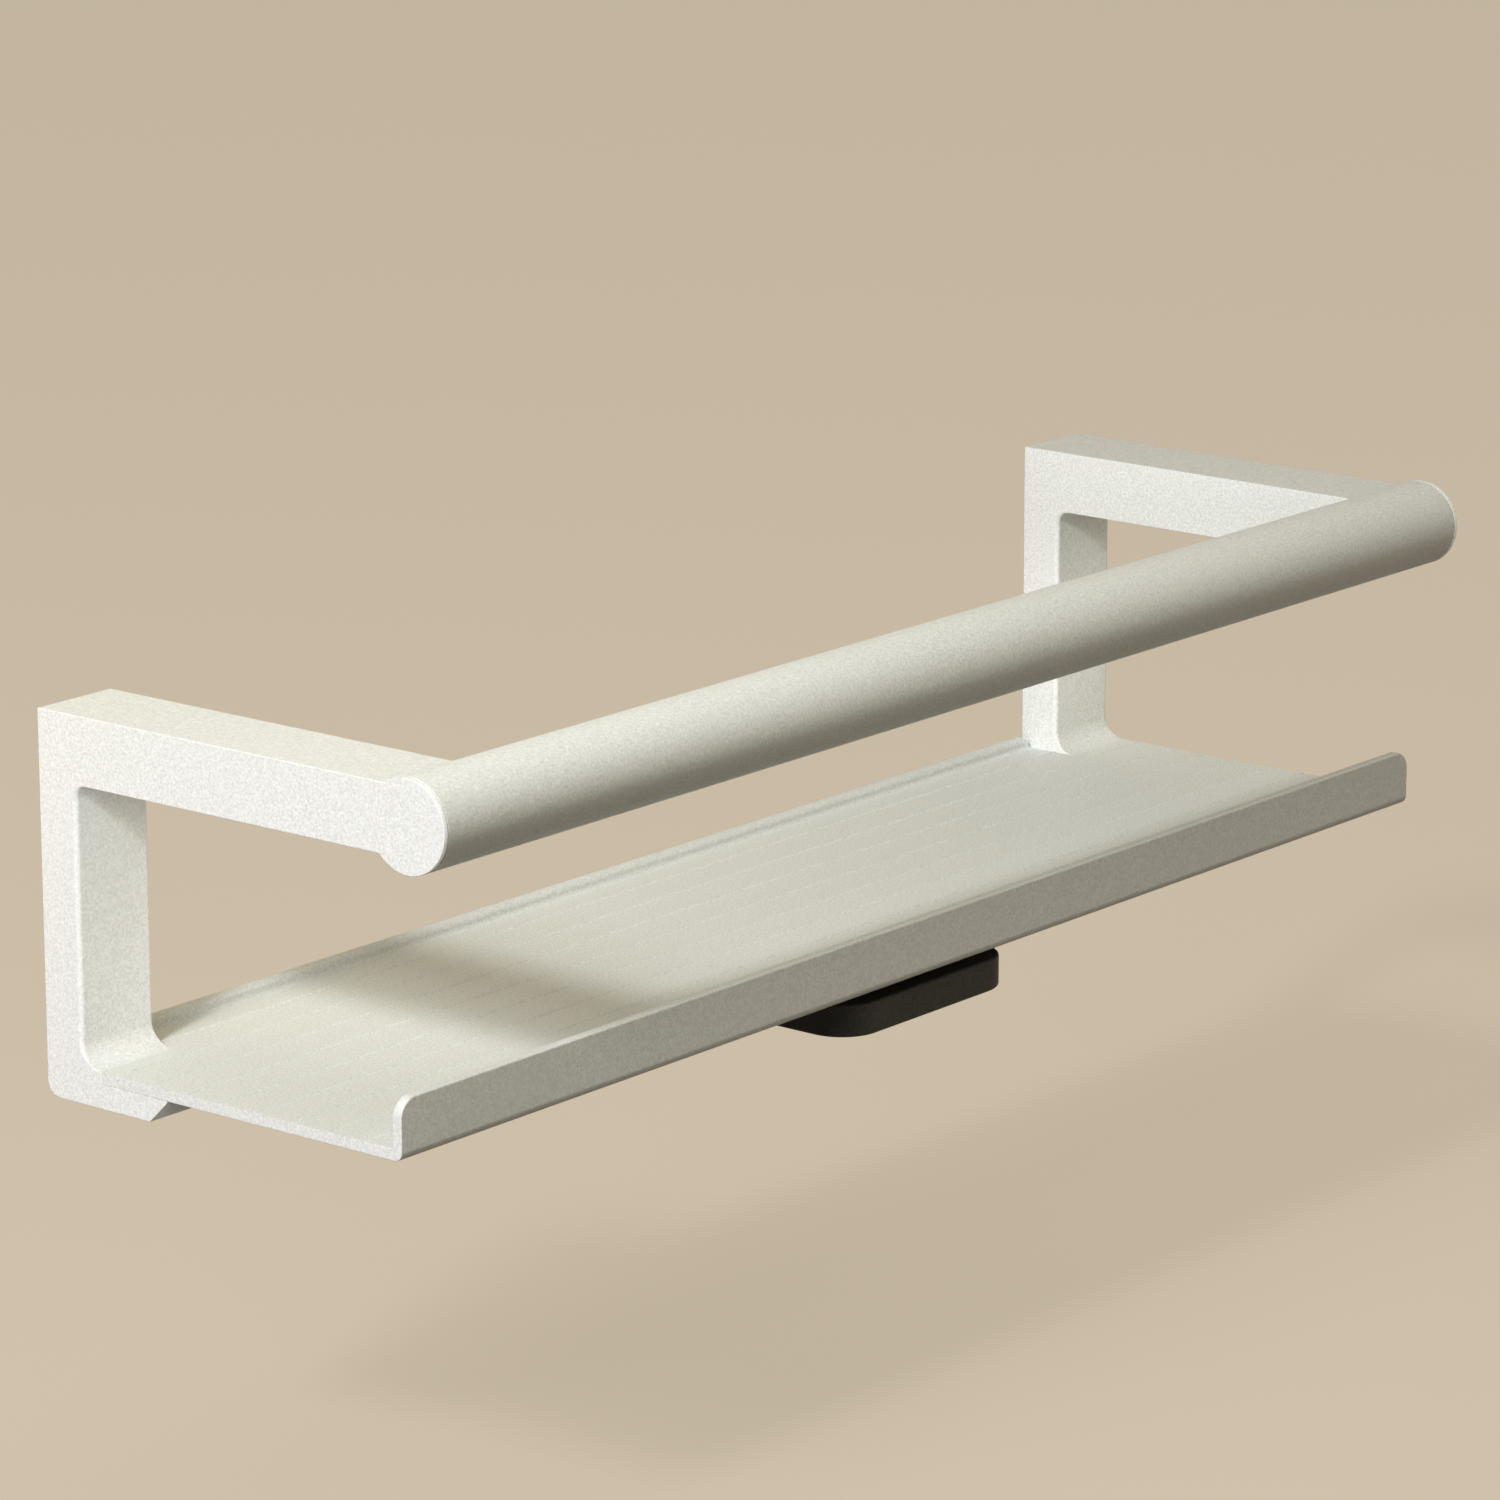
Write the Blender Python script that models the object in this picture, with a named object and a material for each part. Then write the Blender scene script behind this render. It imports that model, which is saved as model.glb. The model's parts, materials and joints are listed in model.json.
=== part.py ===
"""A bathroom shelf with a rail in front and a glass wiper parked underneath.

Metres, +Z up. The wall is the plane y = 0 and the shelf stands out of it towards -Y. The origin is on the
wall, halfway between the brackets, at the height of the tray's top.
"""

import math

import bmesh
import bpy

# Whole shelf
SHELF_LENGTH = 0.450
SEAM = 0.0003  # gap left between pieces that touch
CUT = 0.002  # how far a cutter runs past what it cuts
ROUND_STEPS = 8  # steps in a quarter of a visible rounding
SMALL_STEPS = 4  # steps in a quarter of a small rounding

# Side brackets: arm, post and foot in one casting
BRACKET_WIDTH = 0.0266
ARM_TOP = 0.0945
ARM_HEIGHT = 0.0185
POST_DEPTH = 0.0130
FOOT_DROP = 0.010
FOOT_REACH = 0.037
FOOT_BACK_ROUND = 0.0045
WINDOW_TOP_ROUND = 0.0042
WINDOW_FOOT_ROUND = 0.0067
POST_EDGE_ROUND = 0.0014

# Rail, and the brackets' ends inside it
RAIL_RADIUS = 0.0125
RAIL_WALL = 0.0018
RAIL_OUT = 0.128
RAIL_BELOW_ARM_MIDDLE = 0.00095
END_DISC_THICKNESS = 0.0013
SPIGOT_LENGTH = 0.036
RAIL_SIDES = 64
RAIL_SCREW_RADIUS = 0.002
RAIL_SCREW_LENGTH = 0.007
SCREW_CLEARANCE = 0.0003

# Tray
TRAY_DEPTH = 0.1248
TRAY_THICKNESS = 0.0032
TRAY_WALL_GAP = 0.0005
LIP_HEIGHT = 0.0134
LIP_THICKNESS = 0.003
LIP_CORNER_ROUND = 0.0055
LIP_FOOT_ROUND = 0.0026
LIP_INNER_ROUND = 0.0008
RIM_HEIGHT = 0.0034
RIM_THICKNESS = 0.0030
RIM_TOP_ROUND = 0.0018
RIM_FOOT_ROUND = 0.0015
RIM_END_GAP = 0.0012
RIM_END_ROUND = 0.0024
RIB_START = 0.0006
RIB_PITCH = 0.0124
RIB_WIDTH = 0.0013
RIB_HEIGHT = 0.0002

# Studs under the tray, with their nuts in the feet
TRAY_STUD_RADIUS = 0.002
TRAY_STUD_SPACING = 0.0118
TRAY_STUD_PAST_NUT = 0.0004
TRAY_NUT_FLATS = 0.007
TRAY_NUT_HEIGHT = 0.0032
FOOT_WEB = 0.0021
NUT_CLEARANCE = 0.0004

# Wall plates in the posts
PLATE_WIDTH = 0.0168
PLATE_THICKNESS = 0.005
PLATE_LENGTH = 0.062
PLATE_SLOPE = 0.0016
PLATE_LOW_END = 0.004
PLATE_CLEARANCE = 0.0003
PLATE_FITTING_ROOM = 0.0021
WALL_HOLE_RADIUS = 0.0026
WALL_HOLE_HEAD_RADIUS = 0.0052
WALL_HOLE_SPACING = 0.038
POST_SCREW_RADIUS = 0.002
POST_SCREW_FROM_WALL = 0.0035
POST_SCREW_LENGTH = 0.0108
KEY_RADIUS = 0.0012
KEY_DEPTH = 0.0022

# Dock under the tray
DOCK_THICKNESS = 0.0043
DOCK_LENGTH = 0.056
DOCK_INSET = 0.0014
DOCK_SETBACK = 0.0080
TONGUE_LENGTH = 0.044
TONGUE_TOP_WIDTH = 0.016
TONGUE_FOOT_WIDTH = 0.020
TONGUE_HEIGHT = 0.0026
SLIDE_CLEARANCE = 0.0003
DOCK_STUD_RADIUS = 0.0015
DOCK_STUD_SPACING = 0.046
DOCK_NUT_FLATS = 0.0055
DOCK_NUT_HEIGHT = 0.0024
DOCK_WEB = 0.0016
MAGNET_RADIUS = 0.005
MAGNET_THICKNESS = 0.002

# Wiper
GRIP_WIDTH = 0.0756
GRIP_LENGTH = 0.074
GRIP_THICKNESS = 0.0094
GRIP_SETBACK = 0.006
GRIP_CORNER_ROUND = 0.012
GRIP_EDGE_ROUND = 0.0008
KEEPER_SIZE = 0.013
KEEPER_THICKNESS = 0.0015
BAR_LENGTH = 0.280
BAR_DEPTH = 0.018
BAR_THICKNESS = 0.005
BAR_SEAT = 0.013
BAR_SCREW_SPACING = 0.046
BAR_SCREW_RADIUS = 0.0015
BAR_SCREW_HEAD_RADIUS = 0.0028
BAR_SCREW_LENGTH = 0.0078
BEAD_RADIUS = 0.0017
BEAD_INSET = 0.0032
BLADE_REACH = 0.015
BLADE_THICKNESS = 0.0018
BLADE_TIP_THICKNESS = 0.0009
CAP_THICKNESS = 0.0020
CAP_ROUND = 0.001
CAP_PEG_RADIUS = 0.0012
CAP_PEG_LENGTH = 0.005
CAP_PEG_FROM_FRONT = 0.005

# Values that follow from the ones above
HALF_LENGTH = SHELF_LENGTH / 2
ARM_BOTTOM = ARM_TOP - ARM_HEIGHT
RAIL_HEIGHT = (ARM_TOP + ARM_BOTTOM) / 2 - RAIL_BELOW_ARM_MIDDLE
SPIGOT_RADIUS = RAIL_RADIUS - RAIL_WALL - SEAM
ARM_END = RAIL_OUT - SPIGOT_RADIUS / 2
TOE = POST_DEPTH + WINDOW_FOOT_ROUND  # how far out the foot rises above the tray's seat
SEAT = -TRAY_THICKNESS - SEAM
CHAMFER_TOP = FOOT_REACH + FOOT_DROP + SEAT
TRAY_STUD_OUT = (TOE + FOOT_REACH) / 2
DOCK_TOP = SEAT
DOCK_FOOT = DOCK_TOP - DOCK_THICKNESS
GRIP_FRONT = GRIP_SETBACK - TRAY_DEPTH
GRIP_TOP = DOCK_FOOT - SLIDE_CLEARANCE
GRIP_FOOT = GRIP_TOP - GRIP_THICKNESS
DOCK_FRONT = GRIP_FRONT + DOCK_SETBACK
DOCK_BACK = DOCK_FRONT + DOCK_LENGTH
DOCK_STUD_Y = (DOCK_FRONT + DOCK_BACK) / 2
TONGUE_FRONT = DOCK_BACK - TONGUE_LENGTH
TONGUE_FOOT = DOCK_FOOT - TONGUE_HEIGHT
MAGNET_Y = (TONGUE_FRONT + DOCK_BACK) / 2
GROOVE_FLOOR = TONGUE_FOOT - SLIDE_CLEARANCE
GRIP_BACK = GRIP_FRONT + GRIP_LENGTH
BAR_TOP = GRIP_FOOT + BAR_THICKNESS
BAR_FRONT = GRIP_BACK - BAR_SEAT
BAR_BACK = BAR_FRONT + BAR_DEPTH
BAR_SCREW_Y = (BAR_FRONT + GRIP_BACK) / 2
BEAD_Y = BAR_BACK - BEAD_INSET
BEAD_Z = GRIP_FOOT + BAR_THICKNESS / 2
SIDES = {"left": -1, "right": 1}


def material(name, colour, roughness, metallic=0.0):
    made = bpy.data.materials.new(name)
    made.use_nodes = True
    shader = made.node_tree.nodes["Principled BSDF"]
    shader.inputs["Base Color"].default_value = (*colour, 1.0)
    shader.inputs["Roughness"].default_value = roughness
    shader.inputs["Metallic"].default_value = metallic
    made.diffuse_color = (*colour, 1.0)
    return made


def arc(centre, radius, start, end, steps):
    """Points on an arc, from start to end in degrees, both ends included."""
    angles = [math.radians(start + (end - start) * i / steps) for i in range(steps + 1)]
    return [(centre[0] + radius * math.cos(a), centre[1] + radius * math.sin(a)) for a in angles]


def circle(centre, radius, sides):
    return arc(centre, radius, 0, 360 - 360 / sides, sides - 1)


def rectangle(a0, a1, b0, b1):
    return [(a0, b0), (a1, b0), (a1, b1), (a0, b1)]


def rounded_rectangle(a0, a1, b0, b1, radius, steps):
    return (
        arc((a1 - radius, b0 + radius), radius, -90, 0, steps)
        + arc((a1 - radius, b1 - radius), radius, 0, 90, steps)
        + arc((a0 + radius, b1 - radius), radius, 90, 180, steps)
        + arc((a0 + radius, b0 + radius), radius, 180, 270, steps)
    )


def in_space(point, along, axis):
    """An outline's point at a place along an axis: X takes (y, z), Y takes (x, z), Z takes (x, y)."""
    a, b = point
    if axis == "X":
        return (along, a, b)
    if axis == "Y":
        return (a, along, b)
    return (a, b, along)


def mesh_of(name, rings, looped=False):
    """A closed mesh through rings of points. A looped one joins the last ring to the first."""
    shape = bmesh.new()
    rows = [[shape.verts.new(point) for point in ring] for ring in rings]
    pairs = list(zip(rows, rows[1:]))
    if looped:
        pairs.append((rows[-1], rows[0]))
    for low, high in pairs:
        for i in range(len(low)):
            j = (i + 1) % len(low)
            shape.faces.new((low[i], low[j], high[j], high[i]))
    if not looped:
        shape.faces.new(rows[0])
        shape.faces.new(rows[-1])
    bmesh.ops.recalc_face_normals(shape, faces=shape.faces)
    mesh = bpy.data.meshes.new(name)
    shape.to_mesh(mesh)
    shape.free()
    return mesh


def add(name, rings, finish=None, place=(0, 0, 0), parent=None, looped=False, smooth=False):
    mesh = mesh_of(name, rings, looped)
    if finish:
        mesh.materials.append(finish)
    if smooth:
        mesh.shade_smooth()
        mesh.set_sharp_from_angle(angle=math.radians(35))
    made = bpy.data.objects.new(name, mesh)
    made.location = place
    made.parent = parent
    bpy.context.collection.objects.link(made)
    return made


def prism(outline, axis, low, high):
    return [[in_space(point, along, axis) for point in outline] for along in (low, high)]


def turned(centre, profile, axis, sides):
    """Rings round an axis through centre, one for each (along, radius) of the profile."""
    return [[in_space(p, along, axis) for p in circle(centre, radius, sides)] for along, radius in profile]


def boolean(target, name, rings, operation, looped=False):
    """Cuts a hidden helper out of the target, or joins it on."""
    helper = add(name, rings, parent=target, looped=looped)
    helper.hide_render = True
    helper.display_type = "WIRE"
    change = target.modifiers.new(name, "BOOLEAN")
    change.operation = operation
    change.object = helper


def cut(target, name, rings):
    boolean(target, name, rings, "DIFFERENCE")


def join(target, name, rings):
    boolean(target, name, rings, "UNION")


def window_border():
    """The window's border from arm to toe, as (point, way into the window, share of edge rounding)."""
    border = [((-ARM_END, ARM_BOTTOM), (0, -1), 0.0)]
    top_centre = (-POST_DEPTH - WINDOW_TOP_ROUND, ARM_BOTTOM - WINDOW_TOP_ROUND)
    for i in range(ROUND_STEPS + 1):
        turn = math.pi / 2 * i / ROUND_STEPS
        out = (math.sin(turn), math.cos(turn))
        point = tuple(c + WINDOW_TOP_ROUND * o for c, o in zip(top_centre, out))
        border.append((point, (-out[0], -out[1]), math.sin(turn)))
    foot_centre = (-POST_DEPTH - WINDOW_FOOT_ROUND, WINDOW_FOOT_ROUND)
    for i in range(ROUND_STEPS + 1):
        turn = math.pi / 2 * i / ROUND_STEPS
        out = (math.cos(turn), -math.sin(turn))
        point = tuple(c + WINDOW_FOOT_ROUND * o for c, o in zip(foot_centre, out))
        border.append((point, (-out[0], -out[1]), math.cos(turn)))
    return border


def bracket_outline(from_face):
    """The bracket's outline at a depth from its nearer side face, where the post's edges are rounded."""
    outline = []
    for point, inward, share in window_border():
        radius = POST_EDGE_ROUND * share
        left = max(radius - from_face, 0.0)
        back = radius - math.sqrt(max(radius * radius - left * left, 0.0))
        outline.append((point[0] - inward[0] * back, point[1] - inward[1] * back))
    outline += [(-TOE, SEAT), (-CHAMFER_TOP, SEAT), (-FOOT_REACH, -FOOT_DROP)]
    outline += arc(
        (-FOOT_BACK_ROUND, FOOT_BACK_ROUND - FOOT_DROP), FOOT_BACK_ROUND, -90, 0, ROUND_STEPS
    )
    outline += [(0, ARM_TOP), (-ARM_END, ARM_TOP)]
    return outline


def bracket_rings(side):
    turns = [math.pi / 2 * i / SMALL_STEPS for i in range(SMALL_STEPS + 1)]
    depths = [POST_EDGE_ROUND * (1 - math.cos(turn)) for turn in turns]
    columns = [(depth, depth) for depth in depths]
    columns += [(BRACKET_WIDTH - depth, depth) for depth in reversed(depths)]
    return [[in_space(p, -side * x, "X") for p in bracket_outline(depth)] for x, depth in columns]


def stud_places(spacing):
    return {"outer": (BRACKET_WIDTH - spacing) / 2, "inner": (BRACKET_WIDTH + spacing) / 2}


def hexagon(centre, flats):
    return circle(centre, flats / math.sqrt(3), 6)


def recess_outline():
    """The pocket for the wall plate, seen from the side. Its top hooks over the plate's sloping edge."""
    low = PLATE_LOW_END - PLATE_FITTING_ROOM
    top = PLATE_LOW_END + PLATE_LENGTH
    deep = -PLATE_THICKNESS - PLATE_CLEARANCE
    slope = PLATE_SLOPE / PLATE_THICKNESS
    return [
        (CUT, low),
        (deep, low),
        (deep, top + slope * PLATE_CLEARANCE + PLATE_CLEARANCE),
        (CUT, top - PLATE_SLOPE - slope * CUT + PLATE_CLEARANCE),
    ]


def add_bracket(side_name, finish):
    side = SIDES[side_name]
    body = add(
        f"bracket_{side_name}", bracket_rings(side), finish, place=(side * HALF_LENGTH, 0, 0), smooth=True
    )
    rail = (-RAIL_OUT, RAIL_HEIGHT)
    disc_and_spigot = [
        (0, RAIL_RADIUS),
        (-side * END_DISC_THICKNESS, RAIL_RADIUS),
        (-side * END_DISC_THICKNESS, SPIGOT_RADIUS),
        (-side * SPIGOT_LENGTH, SPIGOT_RADIUS),
    ]
    join(body, f"rail_end_{side_name}", turned(rail, disc_and_spigot, "X", RAIL_SIDES))
    middle = -side * BRACKET_WIDTH / 2
    half = PLATE_WIDTH / 2 + PLATE_CLEARANCE
    cut(body, f"plate_recess_{side_name}", prism(recess_outline(), "X", middle - half, middle + half))
    screw_hole = circle((middle, -POST_SCREW_FROM_WALL), POST_SCREW_RADIUS + SCREW_CLEARANCE, 24)
    cut(body, f"post_screw_hole_{side_name}", prism(screw_hole, "Z", -FOOT_DROP - CUT, PLATE_LOW_END))
    rail_hole = circle((middle, -RAIL_OUT), RAIL_SCREW_RADIUS + SCREW_CLEARANCE, 24)
    foot_of_rail = RAIL_HEIGHT - RAIL_RADIUS
    cut(
        body,
        f"spigot_screw_hole_{side_name}",
        prism(rail_hole, "Z", foot_of_rail - CUT, foot_of_rail + RAIL_SCREW_LENGTH + 2 * SEAM),
    )
    for place, across in stud_places(TRAY_STUD_SPACING).items():
        centre = (-side * across, -TRAY_STUD_OUT)
        hole = circle(centre, TRAY_STUD_RADIUS + SCREW_CLEARANCE, 24)
        cut(body, f"stud_hole_{side_name}_{place}", prism(hole, "Z", -FOOT_DROP - CUT, SEAT + CUT))
        pocket = circle(centre, TRAY_NUT_FLATS / math.sqrt(3) + NUT_CLEARANCE, 32)
        cut(body, f"nut_pocket_{side_name}_{place}", prism(pocket, "Z", -FOOT_DROP - CUT, SEAT - FOOT_WEB))
    return body


def add_rail(finish):
    outer = circle((-RAIL_OUT, RAIL_HEIGHT), RAIL_RADIUS, RAIL_SIDES)
    inner = circle((-RAIL_OUT, RAIL_HEIGHT), RAIL_RADIUS - RAIL_WALL, RAIL_SIDES)
    end = HALF_LENGTH - END_DISC_THICKNESS - SEAM
    corners = ((outer, -end), (outer, end), (inner, end), (inner, -end))
    rings = [[in_space(p, x, "X") for p in ring] for ring, x in corners]
    rail = add("rail_tube", rings, finish, looped=True, smooth=True)
    slot = rectangle(-RAIL_OUT, CUT - RAIL_OUT + RAIL_RADIUS, ARM_BOTTOM - SEAM, ARM_TOP + SEAM)
    for side_name, side in SIDES.items():
        inward = side * (HALF_LENGTH - BRACKET_WIDTH - SEAM)
        cut(rail, f"arm_slot_{side_name}", prism(slot, "X", inward, side * (HALF_LENGTH + CUT)))
        centre = (side * (HALF_LENGTH - BRACKET_WIDTH / 2), -RAIL_OUT)
        hole = circle(centre, RAIL_SCREW_RADIUS + SCREW_CLEARANCE, 24)
        foot = RAIL_HEIGHT - RAIL_RADIUS
        cut(rail, f"rail_screw_hole_{side_name}", prism(hole, "Z", foot - CUT, foot + RAIL_WALL + CUT))
    return rail


def tray_outline():
    """The tray's section, from the wall along the underside, up the lip and back over the ribbed top."""
    back = -TRAY_WALL_GAP
    lip_inside = -TRAY_DEPTH + LIP_THICKNESS
    outline = [(back, -TRAY_THICKNESS)]
    foot_centre = (-TRAY_DEPTH + LIP_FOOT_ROUND, LIP_FOOT_ROUND - TRAY_THICKNESS)
    outline += arc(foot_centre, LIP_FOOT_ROUND, 270, 180, ROUND_STEPS)
    outline += [(-TRAY_DEPTH, LIP_HEIGHT), (lip_inside, LIP_HEIGHT)]
    inner_centre = (lip_inside + LIP_INNER_ROUND, LIP_INNER_ROUND)
    outline += arc(inner_centre, LIP_INNER_ROUND, 180, 270, SMALL_STEPS)
    rim_front = back - RIM_THICKNESS
    half = RIB_WIDTH / 2
    count = int((TRAY_DEPTH - LIP_THICKNESS - LIP_INNER_ROUND - half - RIB_START) / RIB_PITCH)
    for i in range(count, 0, -1):
        middle = -RIB_START - i * RIB_PITCH
        outline += [(middle - half, 0), (middle, RIB_HEIGHT), (middle + half, 0)]
    outline += arc((rim_front - RIM_FOOT_ROUND, RIM_FOOT_ROUND), RIM_FOOT_ROUND, 270, 360, SMALL_STEPS)
    top_centre = (rim_front + RIM_TOP_ROUND, RIM_HEIGHT - RIM_TOP_ROUND)
    outline += arc(top_centre, RIM_TOP_ROUND, 180, 90, SMALL_STEPS)
    outline += [(back, RIM_HEIGHT)]
    return outline


def corner_cutter(side, inner, top, radius, low):
    """The outline that trims a plate's upright edge back to inner, up to top, leaving its corner round."""
    outer = side * (HALF_LENGTH + CUT)
    steps = arc((0, 0), radius, 0, 90, ROUND_STEPS)
    corner = [(side * (inner - radius + a), top - radius + b) for a, b in steps]
    over = [(side * (inner - radius), top + CUT), (outer, top + CUT), (outer, low)]
    return [(side * inner, low), *corner, *over]


def add_tray(finish):
    outline = tray_outline()
    tray = add("shelf_tray", prism(outline, "X", -HALF_LENGTH, HALF_LENGTH), finish, smooth=True)
    back = CUT - TRAY_WALL_GAP
    for side_name, side in SIDES.items():
        inner = side * (HALF_LENGTH - BRACKET_WIDTH - SEAM)
        notch = rectangle(-TOE - SEAM, back, -TRAY_THICKNESS - CUT, RIM_HEIGHT + CUT)
        cut(tray, f"post_notch_{side_name}", prism(notch, "X", inner, side * (HALF_LENGTH + CUT)))
        rim_end = HALF_LENGTH - BRACKET_WIDTH - RIM_END_GAP
        trim = corner_cutter(side, rim_end, RIM_HEIGHT, RIM_END_ROUND, 0)
        rim_front = -TRAY_WALL_GAP - RIM_THICKNESS - RIM_FOOT_ROUND - SEAM
        cut(tray, f"rim_end_{side_name}", prism(trim, "Y", rim_front, back))
        low = LIP_HEIGHT - LIP_CORNER_ROUND
        trim = corner_cutter(side, HALF_LENGTH, LIP_HEIGHT, LIP_CORNER_ROUND, low)
        ends = (-TRAY_DEPTH - CUT, -TRAY_DEPTH + LIP_THICKNESS + CUT)
        cut(tray, f"lip_end_{side_name}", prism(trim, "Y", *ends))
        length = FOOT_WEB + TRAY_NUT_HEIGHT + 2 * SEAM + TRAY_STUD_PAST_NUT
        for place, across in stud_places(TRAY_STUD_SPACING).items():
            stud = circle((side * (HALF_LENGTH - across), -TRAY_STUD_OUT), TRAY_STUD_RADIUS, 24)
            ends = (-TRAY_THICKNESS - length, -TRAY_THICKNESS / 2)
            join(tray, f"tray_stud_{side_name}_{place}", prism(stud, "Z", *ends))
        stud = circle((side * DOCK_STUD_SPACING / 2, DOCK_STUD_Y), DOCK_STUD_RADIUS, 24)
        ends = (DOCK_FOOT + SEAM, -TRAY_THICKNESS / 2)
        join(tray, f"dock_stud_{side_name}", prism(stud, "Z", *ends))
    return tray


def add_nut(name, place, flats, height, stud_radius, finish):
    """A hexagon nut whose top face is at its place."""
    nut = add(name, prism(hexagon((0, 0), flats), "Z", -height, 0), finish, place=place)
    hole = circle((0, 0), stud_radius + SCREW_CLEARANCE, 24)
    cut(nut, f"{name}_hole", prism(hole, "Z", -height - CUT, CUT))
    return nut


def add_tray_nuts(finish):
    for side_name, side in SIDES.items():
        for place, across in stud_places(TRAY_STUD_SPACING).items():
            centre = (side * (HALF_LENGTH - across), -TRAY_STUD_OUT, SEAT - FOOT_WEB - SEAM)
            name = f"tray_nut_{side_name}_{place}"
            add_nut(name, centre, TRAY_NUT_FLATS, TRAY_NUT_HEIGHT, TRAY_STUD_RADIUS, finish)


def add_set_screw(name, place, radius, length, finish):
    """A set screw that stands on its place with its key socket below and its point above."""
    point = radius * 0.5
    profile = [(0, radius), (length - point, radius), (length, radius - point)]
    screw = add(name, turned((0, 0), profile, "Z", 24), finish, place=place, smooth=True)
    cut(screw, f"{name}_socket", prism(circle((0, 0), KEY_RADIUS, 6), "Z", -CUT, KEY_DEPTH))
    return screw


def add_wall_plate(side_name, finish):
    """A plate with sloping ends, wider away from the wall, and two countersunk holes for wall screws."""
    side = SIDES[side_name]
    place = (side * (HALF_LENGTH - BRACKET_WIDTH / 2), 0, PLATE_LOW_END)
    outline = [
        (0, PLATE_SLOPE),
        (-PLATE_THICKNESS, 0),
        (-PLATE_THICKNESS, PLATE_LENGTH),
        (0, PLATE_LENGTH - PLATE_SLOPE),
    ]
    rings = prism(outline, "X", -PLATE_WIDTH / 2, PLATE_WIDTH / 2)
    plate = add(f"wall_plate_{side_name}", rings, finish, place)
    head = WALL_HOLE_HEAD_RADIUS - WALL_HOLE_RADIUS
    profile = [
        (CUT, WALL_HOLE_RADIUS),
        (-PLATE_THICKNESS + head, WALL_HOLE_RADIUS),
        (-PLATE_THICKNESS - CUT, WALL_HOLE_HEAD_RADIUS + CUT),
    ]
    for level, offset in (("lower", -WALL_HOLE_SPACING / 2), ("upper", WALL_HOLE_SPACING / 2)):
        rings = turned((0, PLATE_LENGTH / 2 + offset), profile, "Y", 32)
        cut(plate, f"wall_hole_{side_name}_{level}", rings)
    return plate


def dovetail(half_top, half_foot, top, foot):
    return [(-half_top, top), (-half_foot, foot), (half_foot, foot), (half_top, top)]


def add_dock(finish, magnet_finish, steel):
    half = GRIP_WIDTH / 2 - DOCK_INSET
    corner = GRIP_CORNER_ROUND - DOCK_INSET
    outline = rounded_rectangle(-half, half, DOCK_FRONT, DOCK_BACK, corner, ROUND_STEPS)
    dock = add("wiper_dock", prism(outline, "Z", DOCK_FOOT, DOCK_TOP), finish, smooth=True)
    tongue = dovetail(TONGUE_TOP_WIDTH / 2, TONGUE_FOOT_WIDTH / 2, DOCK_FOOT, TONGUE_FOOT)
    root_half = TONGUE_TOP_WIDTH / 2
    root = [(-root_half, DOCK_FOOT + SEAM), *tongue, (root_half, DOCK_FOOT + SEAM)]
    join(dock, "dock_tongue", prism(root, "Y", TONGUE_FRONT, DOCK_BACK - SEAM))
    magnet_top = TONGUE_FOOT + MAGNET_THICKNESS + 2 * SEAM
    pocket = circle((0, MAGNET_Y), MAGNET_RADIUS + SEAM, 32)
    cut(dock, "magnet_pocket", prism(pocket, "Z", TONGUE_FOOT - CUT, magnet_top))
    magnet = turned((0, 0), [(-MAGNET_THICKNESS, MAGNET_RADIUS), (0, MAGNET_RADIUS)], "Z", 32)
    add("dock_magnet", magnet, magnet_finish, place=(0, MAGNET_Y, magnet_top - SEAM), smooth=True)
    for side_name, side in SIDES.items():
        x = side * DOCK_STUD_SPACING / 2
        hole = circle((x, DOCK_STUD_Y), DOCK_STUD_RADIUS + SCREW_CLEARANCE, 24)
        cut(dock, f"dock_stud_hole_{side_name}", prism(hole, "Z", DOCK_FOOT - CUT, DOCK_TOP + CUT))
        nut_pocket = circle((x, DOCK_STUD_Y), DOCK_NUT_FLATS / math.sqrt(3) + NUT_CLEARANCE, 32)
        seat = DOCK_TOP - DOCK_WEB
        cut(dock, f"dock_nut_pocket_{side_name}", prism(nut_pocket, "Z", DOCK_FOOT - CUT, seat))
        place = (x, DOCK_STUD_Y, seat - SEAM)
        add_nut(f"dock_nut_{side_name}", place, DOCK_NUT_FLATS, DOCK_NUT_HEIGHT, DOCK_STUD_RADIUS, steel)


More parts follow.
